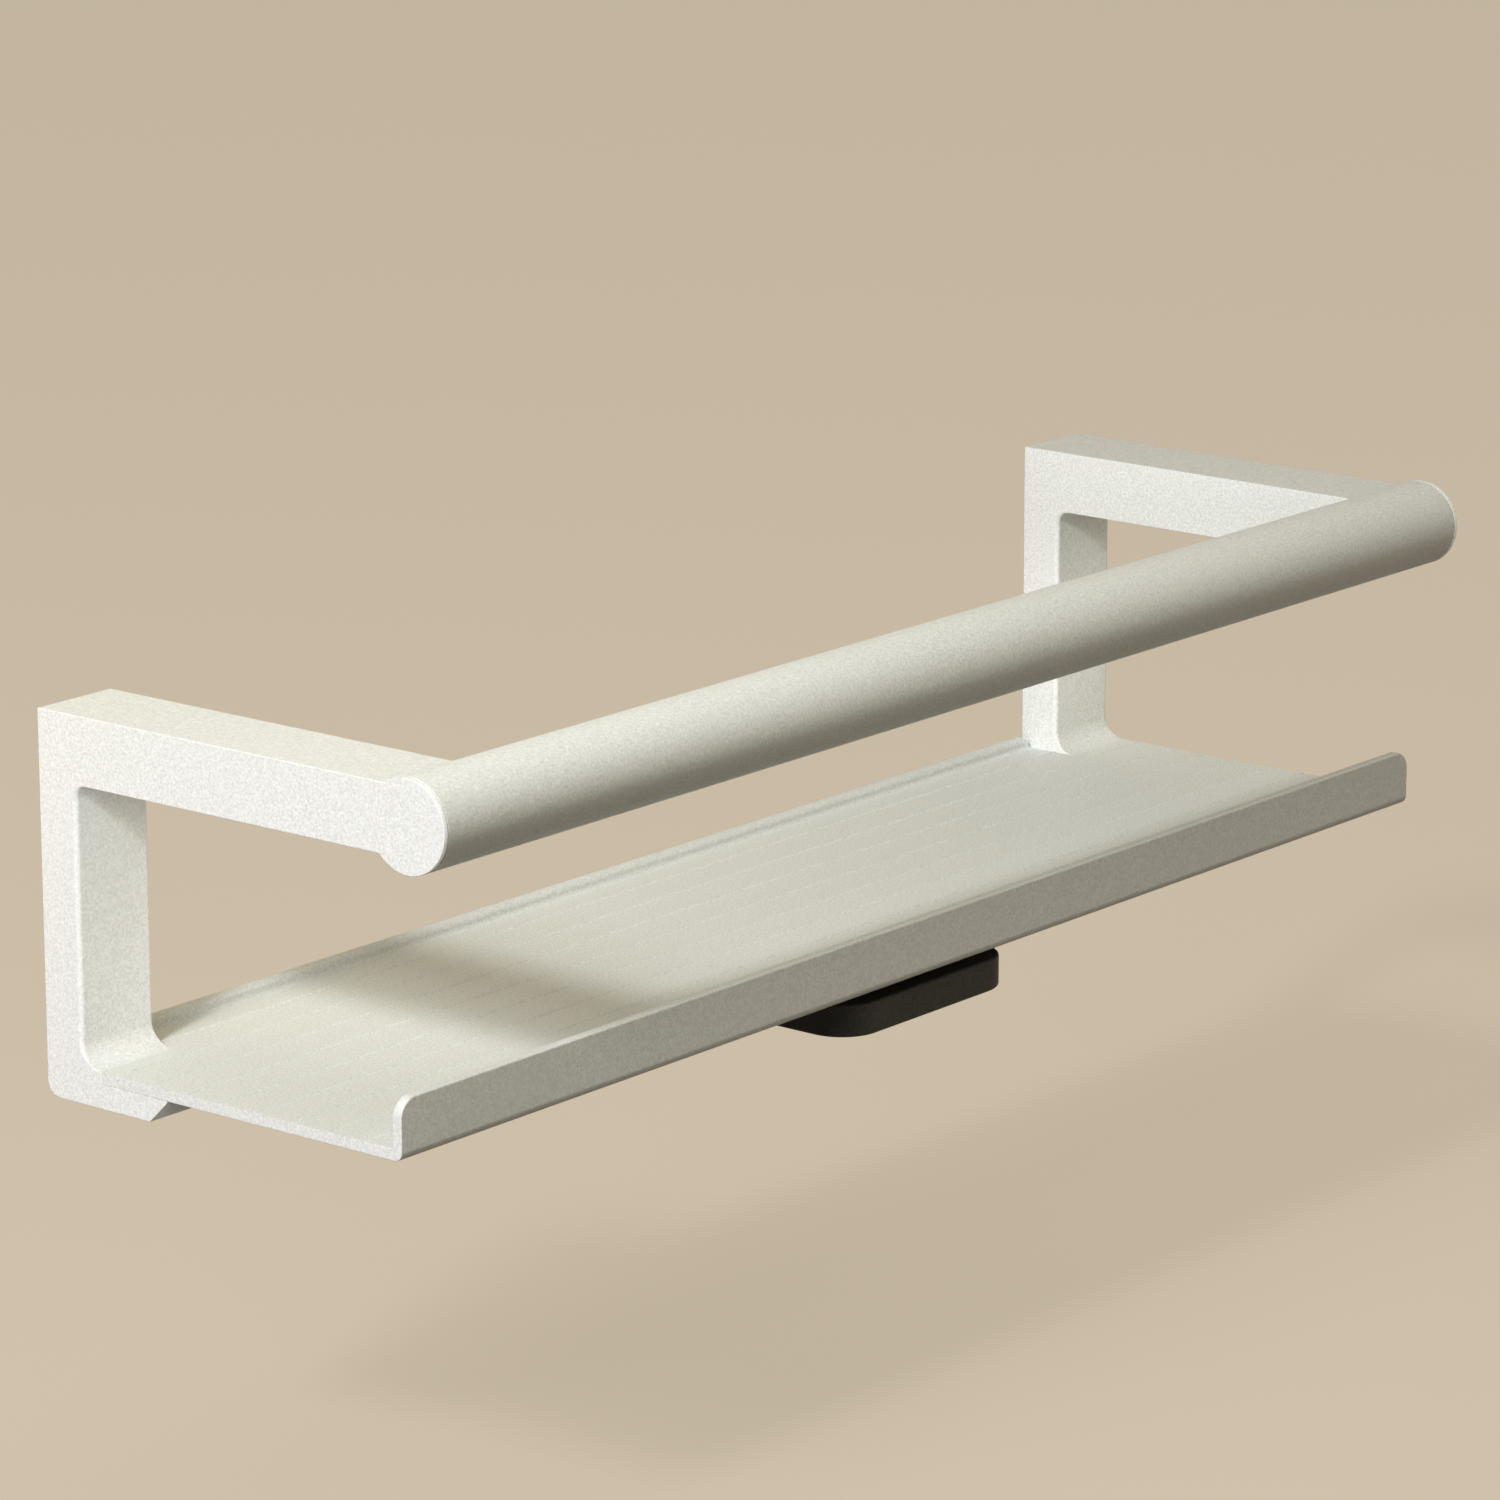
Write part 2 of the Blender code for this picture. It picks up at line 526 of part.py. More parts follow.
def add_grip(wiper, finish):
    half = GRIP_WIDTH / 2
    rings = []
    for depth, inset in (
        (0, GRIP_EDGE_ROUND),
        (GRIP_EDGE_ROUND * 0.3, GRIP_EDGE_ROUND * 0.3),
        (GRIP_EDGE_ROUND, 0),
        (GRIP_THICKNESS - GRIP_EDGE_ROUND, 0),
        (GRIP_THICKNESS - GRIP_EDGE_ROUND * 0.3, GRIP_EDGE_ROUND * 0.3),
        (GRIP_THICKNESS, GRIP_EDGE_ROUND),
    ):
        ends = (GRIP_FRONT + inset, GRIP_BACK - inset)
        corner = GRIP_CORNER_ROUND - inset
        edge = rounded_rectangle(inset - half, half - inset, *ends, corner, ROUND_STEPS)
        rings.append([in_space(p, GRIP_FOOT + depth, "Z") for p in edge])
    grip = add("wiper_grip", rings, finish, parent=wiper, smooth=True)
    mouth = TONGUE_TOP_WIDTH / 2 + SLIDE_CLEARANCE
    bed = TONGUE_FOOT_WIDTH / 2 + SLIDE_CLEARANCE
    groove = dovetail(mouth, bed, GRIP_TOP, GROOVE_FLOOR)
    groove = [(-mouth, GRIP_TOP + CUT), *groove, (mouth, GRIP_TOP + CUT)]
    cut(grip, "tongue_groove", prism(groove, "Y", TONGUE_FRONT - SLIDE_CLEARANCE, GRIP_BACK + CUT))
    size = KEEPER_SIZE / 2 + SEAM
    keeper_pocket = rectangle(-size, size, MAGNET_Y - size, MAGNET_Y + size)
    floor = GROOVE_FLOOR - KEEPER_THICKNESS - 2 * SEAM
    cut(grip, "keeper_pocket", prism(keeper_pocket, "Z", floor, GROOVE_FLOOR + CUT / 2))
    rebate = rectangle(BAR_FRONT - SEAM, GRIP_BACK + CUT, GRIP_FOOT - CUT, BAR_TOP + SEAM)
    cut(grip, "bar_rebate", prism(rebate, "X", -half - CUT, half + CUT))
    for side_name, side in SIDES.items():
        centre = (side * BAR_SCREW_SPACING / 2, BAR_SCREW_Y)
        hole = circle(centre, BAR_SCREW_RADIUS + SCREW_CLEARANCE, 24)
        top = GRIP_FOOT + BAR_SCREW_LENGTH + 2 * SEAM
        cut(grip, f"bar_screw_hole_{side_name}", prism(hole, "Z", GRIP_FOOT - CUT, top))
    return grip


def add_keeper(wiper, finish):
    half = KEEPER_SIZE / 2
    plate = prism(rectangle(-half, half, -half, half), "Z", -KEEPER_THICKNESS, 0)
    return add("wiper_keeper", plate, finish, place=(0, MAGNET_Y, GROOVE_FLOOR - SEAM), parent=wiper)


def bar_outline():
    """The bar's section, with a round channel at the back that opens in a slit for the blade."""
    slit = BLADE_THICKNESS / 2 + SEAM
    reach = BEAD_RADIUS + SEAM
    start = math.degrees(math.asin(slit / reach))
    channel = arc((BEAD_Y, BEAD_Z), reach, start, 360 - start, 4 * SMALL_STEPS)
    return [
        (BAR_BACK, BEAD_Z + slit),
        *channel,
        (BAR_BACK, BEAD_Z - slit),
        (BAR_BACK, GRIP_FOOT),
        (BAR_FRONT, GRIP_FOOT),
        (BAR_FRONT, BAR_TOP),
        (BAR_BACK, BAR_TOP),
    ]


def add_bar(wiper, finish):
    half = BAR_LENGTH / 2
    bar = add("wiper_blade_bar", prism(bar_outline(), "X", -half, half), finish, parent=wiper, smooth=True)
    head = BAR_SCREW_HEAD_RADIUS - BAR_SCREW_RADIUS
    wide = BAR_SCREW_HEAD_RADIUS + SCREW_CLEARANCE
    narrow = BAR_SCREW_RADIUS + SCREW_CLEARANCE
    profile = [(GRIP_FOOT - CUT, wide + CUT), (GRIP_FOOT + head, narrow), (BAR_TOP + CUT, narrow)]
    for side_name, side in SIDES.items():
        centre = (side * BAR_SCREW_SPACING / 2, BAR_SCREW_Y)
        cut(bar, f"bar_hole_{side_name}", turned(centre, profile, "Z", 24))
        peg_hole = circle((BAR_FRONT + CAP_PEG_FROM_FRONT, BEAD_Z), CAP_PEG_RADIUS + SEAM, 16)
        inner = side * (half - CAP_PEG_LENGTH - SEAM)
        cut(bar, f"peg_hole_{side_name}", prism(peg_hole, "X", inner, side * (half + CUT)))
    return bar


def add_bar_screws(wiper, finish):
    head = BAR_SCREW_HEAD_RADIUS - BAR_SCREW_RADIUS
    profile = [
        (SEAM, BAR_SCREW_HEAD_RADIUS),
        (SEAM + head, BAR_SCREW_RADIUS),
        (BAR_SCREW_LENGTH, BAR_SCREW_RADIUS),
    ]
    for side_name, side in SIDES.items():
        place = (side * BAR_SCREW_SPACING / 2, BAR_SCREW_Y, GRIP_FOOT)
        name = f"wiper_bar_screw_{side_name}"
        screw = add(name, turned((0, 0), profile, "Z", 24), finish, place=place, parent=wiper, smooth=True)
        cut(screw, f"{name}_socket", prism(circle((0, 0), KEY_RADIUS, 6), "Z", -CUT, KEY_DEPTH))


def add_end_caps(wiper, finish):
    for side_name, side in SIDES.items():
        place = (side * (BAR_LENGTH / 2 + SEAM), 0, 0)
        plate = rounded_rectangle(BAR_FRONT, BAR_BACK, GRIP_FOOT, BAR_TOP, CAP_ROUND, SMALL_STEPS)
        rings = prism(plate, "X", 0, side * CAP_THICKNESS)
        cap = add(f"wiper_end_cap_{side_name}", rings, finish, place=place, parent=wiper, smooth=True)
        peg = circle((BAR_FRONT + CAP_PEG_FROM_FRONT, BEAD_Z), CAP_PEG_RADIUS, 16)
        join(cap, f"cap_peg_{side_name}", prism(peg, "X", -side * CAP_PEG_LENGTH, side * CAP_THICKNESS / 2))


def add_rubber(wiper, finish):
    """The blade: a round bead in the bar's channel and a lip that thins towards its tip."""
    half_root = BLADE_THICKNESS / 2
    half_tip = BLADE_TIP_THICKNESS / 2
    start = math.degrees(math.asin(half_root / BEAD_RADIUS))
    outline = arc((BEAD_Y, BEAD_Z), BEAD_RADIUS, start, 360 - start, 4 * SMALL_STEPS)
    outline += [
        (BAR_BACK, BEAD_Z - half_root),
        (BAR_BACK + BLADE_REACH, BEAD_Z - half_tip),
        (BAR_BACK + BLADE_REACH, BEAD_Z + half_tip),
        (BAR_BACK, BEAD_Z + half_root),
    ]
    half = BAR_LENGTH / 2
    return add("wiper_rubber", prism(outline, "X", -half, half), finish, parent=wiper, smooth=True)


def add_wiper(grip_finish, steel, bar_finish, rubber_finish):
    """The wiper's pieces, on an empty that lies on the line it slides along."""
    wiper = bpy.data.objects.new("wiper", None)
    bpy.context.collection.objects.link(wiper)
    add_grip(wiper, grip_finish)
    add_keeper(wiper, steel)
    add_bar(wiper, bar_finish)
    add_bar_screws(wiper, steel)
    add_end_caps(wiper, grip_finish)
    add_rubber(wiper, rubber_finish)


def main():
    for old in list(bpy.data.objects):
        bpy.data.objects.remove(old, do_unlink=True)
    white = material("white_powder_coat", (0.80, 0.79, 0.75), 0.55)
    black = material("black_plastic", (0.025, 0.025, 0.027), 0.6)
    steel = material("plain_steel", (0.55, 0.55, 0.56), 0.35, 1.0)
    dark_bar = material("black_anodised_bar", (0.04, 0.04, 0.045), 0.4, 0.6)
    rubber = material("black_rubber", (0.015, 0.015, 0.015), 0.75)
    magnet = material("nickel_magnet", (0.6, 0.58, 0.54), 0.25, 1.0)
    for side_name, side in SIDES.items():
        add_bracket(side_name, white)
        add_wall_plate(side_name, steel)
        middle = side * (HALF_LENGTH - BRACKET_WIDTH / 2)
        tip = PLATE_LOW_END - SEAM
        place = (middle, -POST_SCREW_FROM_WALL, tip - POST_SCREW_LENGTH)
        add_set_screw(f"bracket_grub_screw_{side_name}", place, POST_SCREW_RADIUS, POST_SCREW_LENGTH, steel)
        place = (middle, -RAIL_OUT, RAIL_HEIGHT - RAIL_RADIUS + SEAM)
        add_set_screw(f"rail_grub_screw_{side_name}", place, RAIL_SCREW_RADIUS, RAIL_SCREW_LENGTH, steel)
    add_rail(white)
    add_tray(white)
    add_tray_nuts(steel)
    add_dock(black, magnet, steel)
    add_wiper(black, steel, dark_bar, rubber)


main()
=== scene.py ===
"""The bathroom shelf as it looks in the photograph: coated brackets, rail and tray, and the black wiper
below."""

import json
import math

import bmesh
import bpy
from mathutils import Matrix, Vector

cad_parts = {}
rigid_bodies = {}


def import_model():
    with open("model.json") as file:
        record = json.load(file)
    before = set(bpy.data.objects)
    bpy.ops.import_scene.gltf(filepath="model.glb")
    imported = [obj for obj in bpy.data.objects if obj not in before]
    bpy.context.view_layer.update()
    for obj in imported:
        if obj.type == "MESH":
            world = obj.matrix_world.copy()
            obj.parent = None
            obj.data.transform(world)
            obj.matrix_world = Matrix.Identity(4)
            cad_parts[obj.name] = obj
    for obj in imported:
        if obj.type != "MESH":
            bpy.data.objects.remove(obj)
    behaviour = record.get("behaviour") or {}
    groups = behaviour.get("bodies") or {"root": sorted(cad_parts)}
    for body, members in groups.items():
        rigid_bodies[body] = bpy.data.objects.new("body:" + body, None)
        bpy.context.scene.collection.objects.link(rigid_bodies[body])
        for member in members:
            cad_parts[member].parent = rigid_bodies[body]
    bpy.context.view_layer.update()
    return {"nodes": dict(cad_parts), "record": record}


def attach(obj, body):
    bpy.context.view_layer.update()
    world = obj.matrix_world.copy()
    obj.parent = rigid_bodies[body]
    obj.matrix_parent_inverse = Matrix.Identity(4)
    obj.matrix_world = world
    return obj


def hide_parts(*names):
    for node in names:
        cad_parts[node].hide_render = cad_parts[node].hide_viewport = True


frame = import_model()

# Sizes of the solids that the finer pieces stand for, in metres
SHELF_LENGTH = 0.450
SEAM = 0.0003
CUT = 0.002
BRACKET_WIDTH = 0.0266
ARM_TOP = 0.0945
ARM_HEIGHT = 0.0185
POST_DEPTH = 0.0130
FOOT_DROP = 0.010
FOOT_REACH = 0.037
FOOT_BACK_ROUND = 0.0045
WINDOW_TOP_ROUND = 0.0042
WINDOW_FOOT_ROUND = 0.0067
POST_EDGE_ROUND = 0.0014
RAIL_RADIUS = 0.0125
RAIL_WALL = 0.0018
RAIL_OUT = 0.128
RAIL_BELOW_ARM_MIDDLE = 0.00095
END_DISC_THICKNESS = 0.0013
SPIGOT_LENGTH = 0.036
RAIL_SCREW_RADIUS = 0.002
RAIL_SCREW_LENGTH = 0.007
SCREW_CLEARANCE = 0.0003
TRAY_DEPTH = 0.1248
TRAY_THICKNESS = 0.0032
TRAY_WALL_GAP = 0.0005
LIP_HEIGHT = 0.0134
LIP_THICKNESS = 0.003
LIP_CORNER_ROUND = 0.0055
LIP_FOOT_ROUND = 0.0026
LIP_INNER_ROUND = 0.0008
RIM_HEIGHT = 0.0034
RIM_THICKNESS = 0.0030
RIM_TOP_ROUND = 0.0018
RIM_FOOT_ROUND = 0.0015
RIM_END_GAP = 0.0012
RIM_END_ROUND = 0.0024
RIB_START = 0.0006
RIB_PITCH = 0.0124
RIB_WIDTH = 0.0013
TRAY_STUD_RADIUS = 0.002
TRAY_STUD_SPACING = 0.0118
TRAY_STUD_PAST_NUT = 0.0004
TRAY_NUT_FLATS = 0.007
TRAY_NUT_HEIGHT = 0.0032
FOOT_WEB = 0.0021
NUT_CLEARANCE = 0.0004
PLATE_WIDTH = 0.0168
PLATE_THICKNESS = 0.005
PLATE_LENGTH = 0.062
PLATE_SLOPE = 0.0016
PLATE_LOW_END = 0.004
PLATE_CLEARANCE = 0.0003
PLATE_FITTING_ROOM = 0.0021
POST_SCREW_RADIUS = 0.002
POST_SCREW_FROM_WALL = 0.0035
DOCK_THICKNESS = 0.0043
DOCK_LENGTH = 0.056
DOCK_SETBACK = 0.0080
DOCK_STUD_RADIUS = 0.0015
DOCK_STUD_SPACING = 0.046
TONGUE_LENGTH = 0.044
TONGUE_TOP_WIDTH = 0.016
TONGUE_FOOT_WIDTH = 0.020
TONGUE_HEIGHT = 0.0026
SLIDE_CLEARANCE = 0.0003
GRIP_WIDTH = 0.0756
GRIP_LENGTH = 0.074
GRIP_THICKNESS = 0.0094
GRIP_SETBACK = 0.006
GRIP_CORNER_ROUND = 0.012
GRIP_EDGE_ROUND = 0.0008
KEEPER_SIZE = 0.013
KEEPER_THICKNESS = 0.0015
BAR_LENGTH = 0.280
BAR_DEPTH = 0.018
BAR_THICKNESS = 0.005
BAR_SEAT = 0.013
BAR_SCREW_SPACING = 0.046
BAR_SCREW_RADIUS = 0.0015
BAR_SCREW_HEAD_RADIUS = 0.0028
BAR_SCREW_LENGTH = 0.0078
BEAD_RADIUS = 0.0017
BEAD_INSET = 0.0032
BLADE_THICKNESS = 0.0018
CAP_PEG_RADIUS = 0.0012
CAP_PEG_LENGTH = 0.005
CAP_PEG_FROM_FRONT = 0.005

# Finer forms that only this script gives
COAT_SEAM = 0.00006  # where coated pieces touch, their coats leave only a hairline
RIB_HEIGHT = 0.0004
EDGE_ROUND = 0.00025
SEAM_EDGE_ROUND = 0.0001
CORNER_ROUND = 0.0004
LIP_TOP_ROUND = 0.0006
BAR_EDGE_ROUND = 0.0006
RAIL_END_ROUND = 0.0002
TRAY_STUD_END_ROUND = 0.0003
DOCK_STUD_END_ROUND = 0.0002
EDGE_STEPS = 3
ARC_STEPS = 16
RIB_STEPS = 4
RAIL_SIDES = 160
HOLE_SIDES = 32
MERGE_DISTANCE = 3e-6
SLIVER_LENGTH = 1e-6
SHARP_ANGLE = 38  # degrees; edges that turn more than this stay sharp
FLAT_FACE_WEIGHT = 80

HALF_LENGTH = SHELF_LENGTH / 2
ARM_BOTTOM = ARM_TOP - ARM_HEIGHT
RAIL_HEIGHT = (ARM_TOP + ARM_BOTTOM) / 2 - RAIL_BELOW_ARM_MIDDLE
SPIGOT_RADIUS = RAIL_RADIUS - RAIL_WALL - SEAM
ARM_END = RAIL_OUT - SPIGOT_RADIUS / 2
TOE = POST_DEPTH + WINDOW_FOOT_ROUND
SEAT = -TRAY_THICKNESS - SEAM
COAT_SEAT = -TRAY_THICKNESS - COAT_SEAM
TRAY_STUD_OUT = (TOE + FOOT_REACH) / 2
DOCK_FOOT = SEAT - DOCK_THICKNESS
GRIP_FRONT = GRIP_SETBACK - TRAY_DEPTH
GRIP_TOP = DOCK_FOOT - SLIDE_CLEARANCE
GRIP_FOOT = GRIP_TOP - GRIP_THICKNESS
DOCK_FRONT = GRIP_FRONT + DOCK_SETBACK
DOCK_BACK = DOCK_FRONT + DOCK_LENGTH
DOCK_STUD_Y = (DOCK_FRONT + DOCK_BACK) / 2
TONGUE_FRONT = DOCK_BACK - TONGUE_LENGTH
MAGNET_Y = (TONGUE_FRONT + DOCK_BACK) / 2
GROOVE_FLOOR = DOCK_FOOT - TONGUE_HEIGHT - SLIDE_CLEARANCE
GRIP_BACK = GRIP_FRONT + GRIP_LENGTH
BAR_TOP = GRIP_FOOT + BAR_THICKNESS
BAR_FRONT = GRIP_BACK - BAR_SEAT
BAR_BACK = BAR_FRONT + BAR_DEPTH
BAR_SCREW_Y = (BAR_FRONT + GRIP_BACK) / 2
BEAD_Y = BAR_BACK - BEAD_INSET
BEAD_Z = GRIP_FOOT + BAR_THICKNESS / 2
SIDES = {"left": -1, "right": 1}

# Camera, fitted to the photograph's straight edges
CAMERA_PLACE = (-1.37379, -1.17599, 0.50293)
CAMERA_AZIMUTH = -50.7450
CAMERA_ELEVATION = 14.4165
CAMERA_ROLL = -0.0702
CAMERA_LENS = 156.843
SENSOR = 36.0

# Lamps: direction, distance, size, power and colour
KEY_COLOUR = (0.97, 1.0, 1.0)
LAMPS = {
    "key": ((-1.27, -0.33, 1.0), 2.6, 0.30, 33.8, KEY_COLOUR),
    "key_low": ((-1.55, -0.17, 1.0), 2.6, 0.50, 15.9, KEY_COLOUR),
    "key_side": ((-1.55, -0.90, 1.0), 2.6, 0.50, 5.1, KEY_COLOUR),
    "top_fill": ((-0.5, -0.4, 1.0), 0.5, 0.30, 0.40, (0.99, 1.0, 0.96)),
    "front_fill": ((0.1, -1.0, -0.03), 1.8, 0.50, 4.5, (1.0, 0.93, 0.78)),
    "left_fill": ((-1.0, -0.15, -0.03), 1.8, 0.50, 9.0, (1.0, 0.84, 0.85)),
    "near_fill": ((-0.6, 0.4, 0.35), 0.35, 0.30, 0.17, (1.0, 0.80, 0.44)),
    "post_fill": ((-0.35, -1.0, 0.15), 1.8, 0.50, 8.1, (1.0, 0.98, 0.98)),
}
LAMP_TARGET = (0.0, -0.06, 0.03)

# World light from the right, and what the camera sees behind the shelf
SIDE_LIGHT = (0.936, 0.763, 0.488)
BACKGROUND = (0.70, 0.60, 0.46)
FAR_BACKGROUND = (0.533, 0.452, 0.339)  # as the far floor looks, so that no horizon shows
FLOOR_BOUNCE = (0.01, 0.01, 0.01)
FLOOR_HEIGHT = -0.14
FLOOR_THICKNESS = 0.02
FLOOR_HALF_SIZE = 40.0
FLOOR_GLOW = 0.95
FLOOR_LIT_SHARE = 0.25


# Materials


class Nodes:
    """A material's node tree, with short calls that add a node and join it to others."""

    def __init__(self, name):
        self.material = bpy.data.materials.new(name)
        self.material.use_nodes = True
        self.tree = self.material.node_tree
        self.shader = self.tree.nodes["Principled BSDF"]
        self.place = self.add("ShaderNodeTexCoord").outputs["Object"]

    def add(self, kind, **settings):
        node = self.tree.nodes.new(kind)
        for key, value in settings.items():
            setattr(node, key, value)
        return node

    def join(self, output, target):
        self.tree.links.new(output, target)

    def stretched(self, scale):
        node = self.add("ShaderNodeMapping")
        node.inputs["Scale"].default_value = scale
        self.join(self.place, node.inputs["Vector"])
        return node.outputs["Vector"]

    def noise(self, scale, detail=2.0, rough=0.5, place=None):
        node = self.add("ShaderNodeTexNoise")
        node.inputs["Scale"].default_value = scale
        node.inputs["Detail"].default_value = detail
        node.inputs["Roughness"].default_value = rough
        self.join(place or self.place, node.inputs["Vector"])
        return node.outputs["Fac"]

    def ranged(self, value, low, high, to_low, to_high):
        node = self.add("ShaderNodeMapRange")
        for key, number in (("From Min", low), ("From Max", high), ("To Min", to_low), ("To Max", to_high)):
            node.inputs[key].default_value = number
        self.join(value, node.inputs["Value"])
        return node.outputs["Result"]

    def mixed(self, share, first, second):
        node = self.add("ShaderNodeMix", data_type="RGBA")
        for socket, value in ((node.inputs[6], first), (node.inputs[7], second)):
            if isinstance(value, tuple):
                socket.default_value = (*value, 1.0)
            else:
                self.join(value, socket)
        if isinstance(share, float):
            node.inputs[0].default_value = share
        else:
            self.join(share, node.inputs[0])
        return node.outputs[2]

    def total(self, first, second, factor):
        """first plus second times a factor."""
        node = self.add("ShaderNodeMath", operation="MULTIPLY_ADD")
        self.join(second, node.inputs[0])
        node.inputs[1].default_value = factor
        self.join(first, node.inputs[2])
        return node.outputs[0]

    def bump(self, height, distance, strength=1.0):
        node = self.add("ShaderNodeBump")
        node.inputs["Distance"].default_value = distance
        node.inputs["Strength"].default_value = strength
        self.join(height, node.inputs["Height"])
        self.join(node.outputs["Normal"], self.shader.inputs["Normal"])

    def set(self, **values):
        for key, value in values.items():
            socket = self.shader.inputs[key.replace("_", " ")]
            if isinstance(value, bpy.types.NodeSocket):
                self.join(value, socket)
            elif isinstance(value, tuple):
                socket.default_value = (*value, 1.0)
            else:
                socket.default_value = value


def powder_coat():
    """Satin off-white powder coat: a fine sandy grain, a faint orange peel and a slightly uneven tone."""
    n = Nodes("white_powder_coat")
    grain = n.noise(1350, detail=2.0, rough=0.65)
    peel = n.noise(420, detail=1.0)
    cloud = n.noise(28, detail=2.0)
    tone = n.mixed(n.ranged(grain, 0.30, 0.70, 0.0, 1.0), (0.660, 0.675, 0.645), (0.890, 0.905, 0.880))
    tone = n.mixed(n.ranged(cloud, 0.35, 0.65, 0.0, 0.2), tone, (0.77, 0.78, 0.745))
    n.set(Base_Color=tone)
    n.set(Roughness=n.ranged(n.total(grain, cloud, 0.5), 0.4, 1.1, 0.46, 0.60))
    n.set(Specular_IOR_Level=0.25)
    n.bump(n.total(peel, grain, 1.6), 0.00006, 1.0)
    return n.material


def moulded_plastic():
    """Matt black plastic with the fine spark-eroded grain of a mould."""
    n = Nodes("black_plastic")
    grain = n.noise(1300, detail=2.0, rough=0.6)
    cloud = n.noise(60, detail=2.0)
    tone = n.mixed(n.ranged(grain, 0.3, 0.7, 0.0, 1.0), (0.030, 0.029, 0.028), (0.078, 0.076, 0.072))
    n.set(Base_Color=tone)
    n.set(Roughness=n.ranged(n.total(grain, cloud, 0.6), 0.5, 1.1, 0.56, 0.68))
    n.set(Specular_IOR_Level=0.2)
    n.bump(grain, 0.00006, 1.0)
    return n.material


def brushed_metal(name, dark, light, roughness, metallic, scale):
    """Metal with fine lines along its grain: scale is small along the lines and large across them."""
    n = Nodes(name)
    lines = n.noise(1.0, detail=3.0, rough=0.6, place=n.stretched(scale))
    cloud = n.noise(90, detail=2.0)
    n.set(Base_Color=n.mixed(n.ranged(lines, 0.3, 0.7, 0.0, 1.0), dark, light))
    n.set(Roughness=n.ranged(n.total(lines, cloud, 0.5), 0.45, 1.05, roughness - 0.06, roughness + 0.08))
    n.set(Metallic=metallic)
    n.bump(lines, 0.00002, 0.7)
    return n.material


def soft_rubber():
    """Black rubber with a dull, slightly dusty skin."""
    n = Nodes("black_rubber")
    skin = n.noise(700, detail=3.0)
    dust = n.noise(45, detail=3.0)
    tone = n.mixed(n.ranged(dust, 0.4, 0.75, 0.0, 1.0), (0.012, 0.012, 0.012), (0.022, 0.021, 0.020))
    n.set(Base_Color=tone)
    n.set(Roughness=n.ranged(skin, 0.3, 0.7, 0.62, 0.78))
    n.bump(skin, 0.00003, 0.6)
    return n.material


def nickel_plate():
    """Bright nickel with a faintly uneven gloss."""
    n = Nodes("nickel_plate")
    cloud = n.noise(300, detail=3.0)
    n.set(Base_Color=n.mixed(n.ranged(cloud, 0.3, 0.7, 0.0, 1.0), (0.58, 0.56, 0.51), (0.64, 0.61, 0.56)))
    n.set(Roughness=n.ranged(cloud, 0.3, 0.7, 0.16, 0.28))
    n.set(Metallic=1.0)
    n.bump(cloud, 0.00001, 0.5)
    return n.material


# Outlines and meshes


def arc(centre, radius, start, end, steps):
    """Points on an arc, from start to end in degrees, both ends included."""
    angles = [math.radians(start + (end - start) * i / steps) for i in range(steps + 1)]
    return [(centre[0] + radius * math.cos(a), centre[1] + radius * math.sin(a)) for a in angles]


def circle(centre, radius, sides):
    return arc(centre, radius, 0, 360 - 360 / sides, sides - 1)


def rectangle(a0, a1, b0, b1):
    return [(a0, b0), (a1, b0), (a1, b1), (a0, b1)]


def rounded_rectangle(a0, a1, b0, b1, radius, steps):
    return (
        arc((a1 - radius, b0 + radius), radius, -90, 0, steps)
        + arc((a1 - radius, b1 - radius), radius, 0, 90, steps)
        + arc((a0 + radius, b1 - radius), radius, 90, 180, steps)
        + arc((a0 + radius, b0 + radius), radius, 180, 270, steps)
    )


def in_space(point, along, axis):
    a, b = point
    if axis == "X":
        return (along, a, b)
    if axis == "Y":
        return (a, along, b)
    return (a, b, along)


def soft_corner(before, corner, after, radius, steps=EDGE_STEPS):
    """Points that round a corner of an outline between its two neighbours."""
    c, p, q = Vector(corner), Vector(before), Vector(after)
    to_p, to_q = (p - c).normalized(), (q - c).normalized()
    half = to_p.angle(to_q) / 2
    reach = radius / math.tan(half)
    centre = c + (to_p + to_q).normalized() * (radius / math.sin(half))
    first, last = c + to_p * reach - centre, c + to_q * reach - centre
    turn = first.angle_signed(last)
    start = math.atan2(first.y, first.x)
    angles = [start - turn * i / steps for i in range(steps + 1)]
    return [(centre.x + radius * math.cos(a), centre.y + radius * math.sin(a)) for a in angles]


def inset(outline, amounts):
    """The outline moved inwards, each point by its own amount measured square to the edges."""
    count = len(outline)
    area = sum(
        outline[i][0] * outline[(i + 1) % count][1] - outline[(i + 1) % count][0] * outline[i][1]
        for i in range(count)
    )
    turn = 1 if area > 0 else -1
    moved = []
    for i, (x, y) in enumerate(outline):
        before, after = outline[i - 1], outline[(i + 1) % count]
        normals = []
        for p, q in ((before, (x, y)), ((x, y), after)):
            dx, dy = q[0] - p[0], q[1] - p[1]
            size = math.hypot(dx, dy)
            normals.append((-dy / size * turn, dx / size * turn))
        (ax, ay), (bx, by) = normals
        share = 1 + ax * bx + ay * by
        moved.append((x + (ax + bx) / share * amounts[i], y + (ay + by) / share * amounts[i]))
    return moved


def round_depths(*radii):
    """Depths below an end face at which rings stand, so that each radius gets its steps."""
    turns = [math.pi / 2 * i / EDGE_STEPS for i in range(EDGE_STEPS + 1)]
    return sorted({round(radius * (1 - math.cos(turn)), 7) for radius in radii for turn in turns})


def edge_inset(radius, depth):
    """How far a rounded edge has drawn back at a depth below its end face."""
    left = max(radius - depth, 0.0)
    return radius - math.sqrt(max(radius * radius - left * left, 0.0))


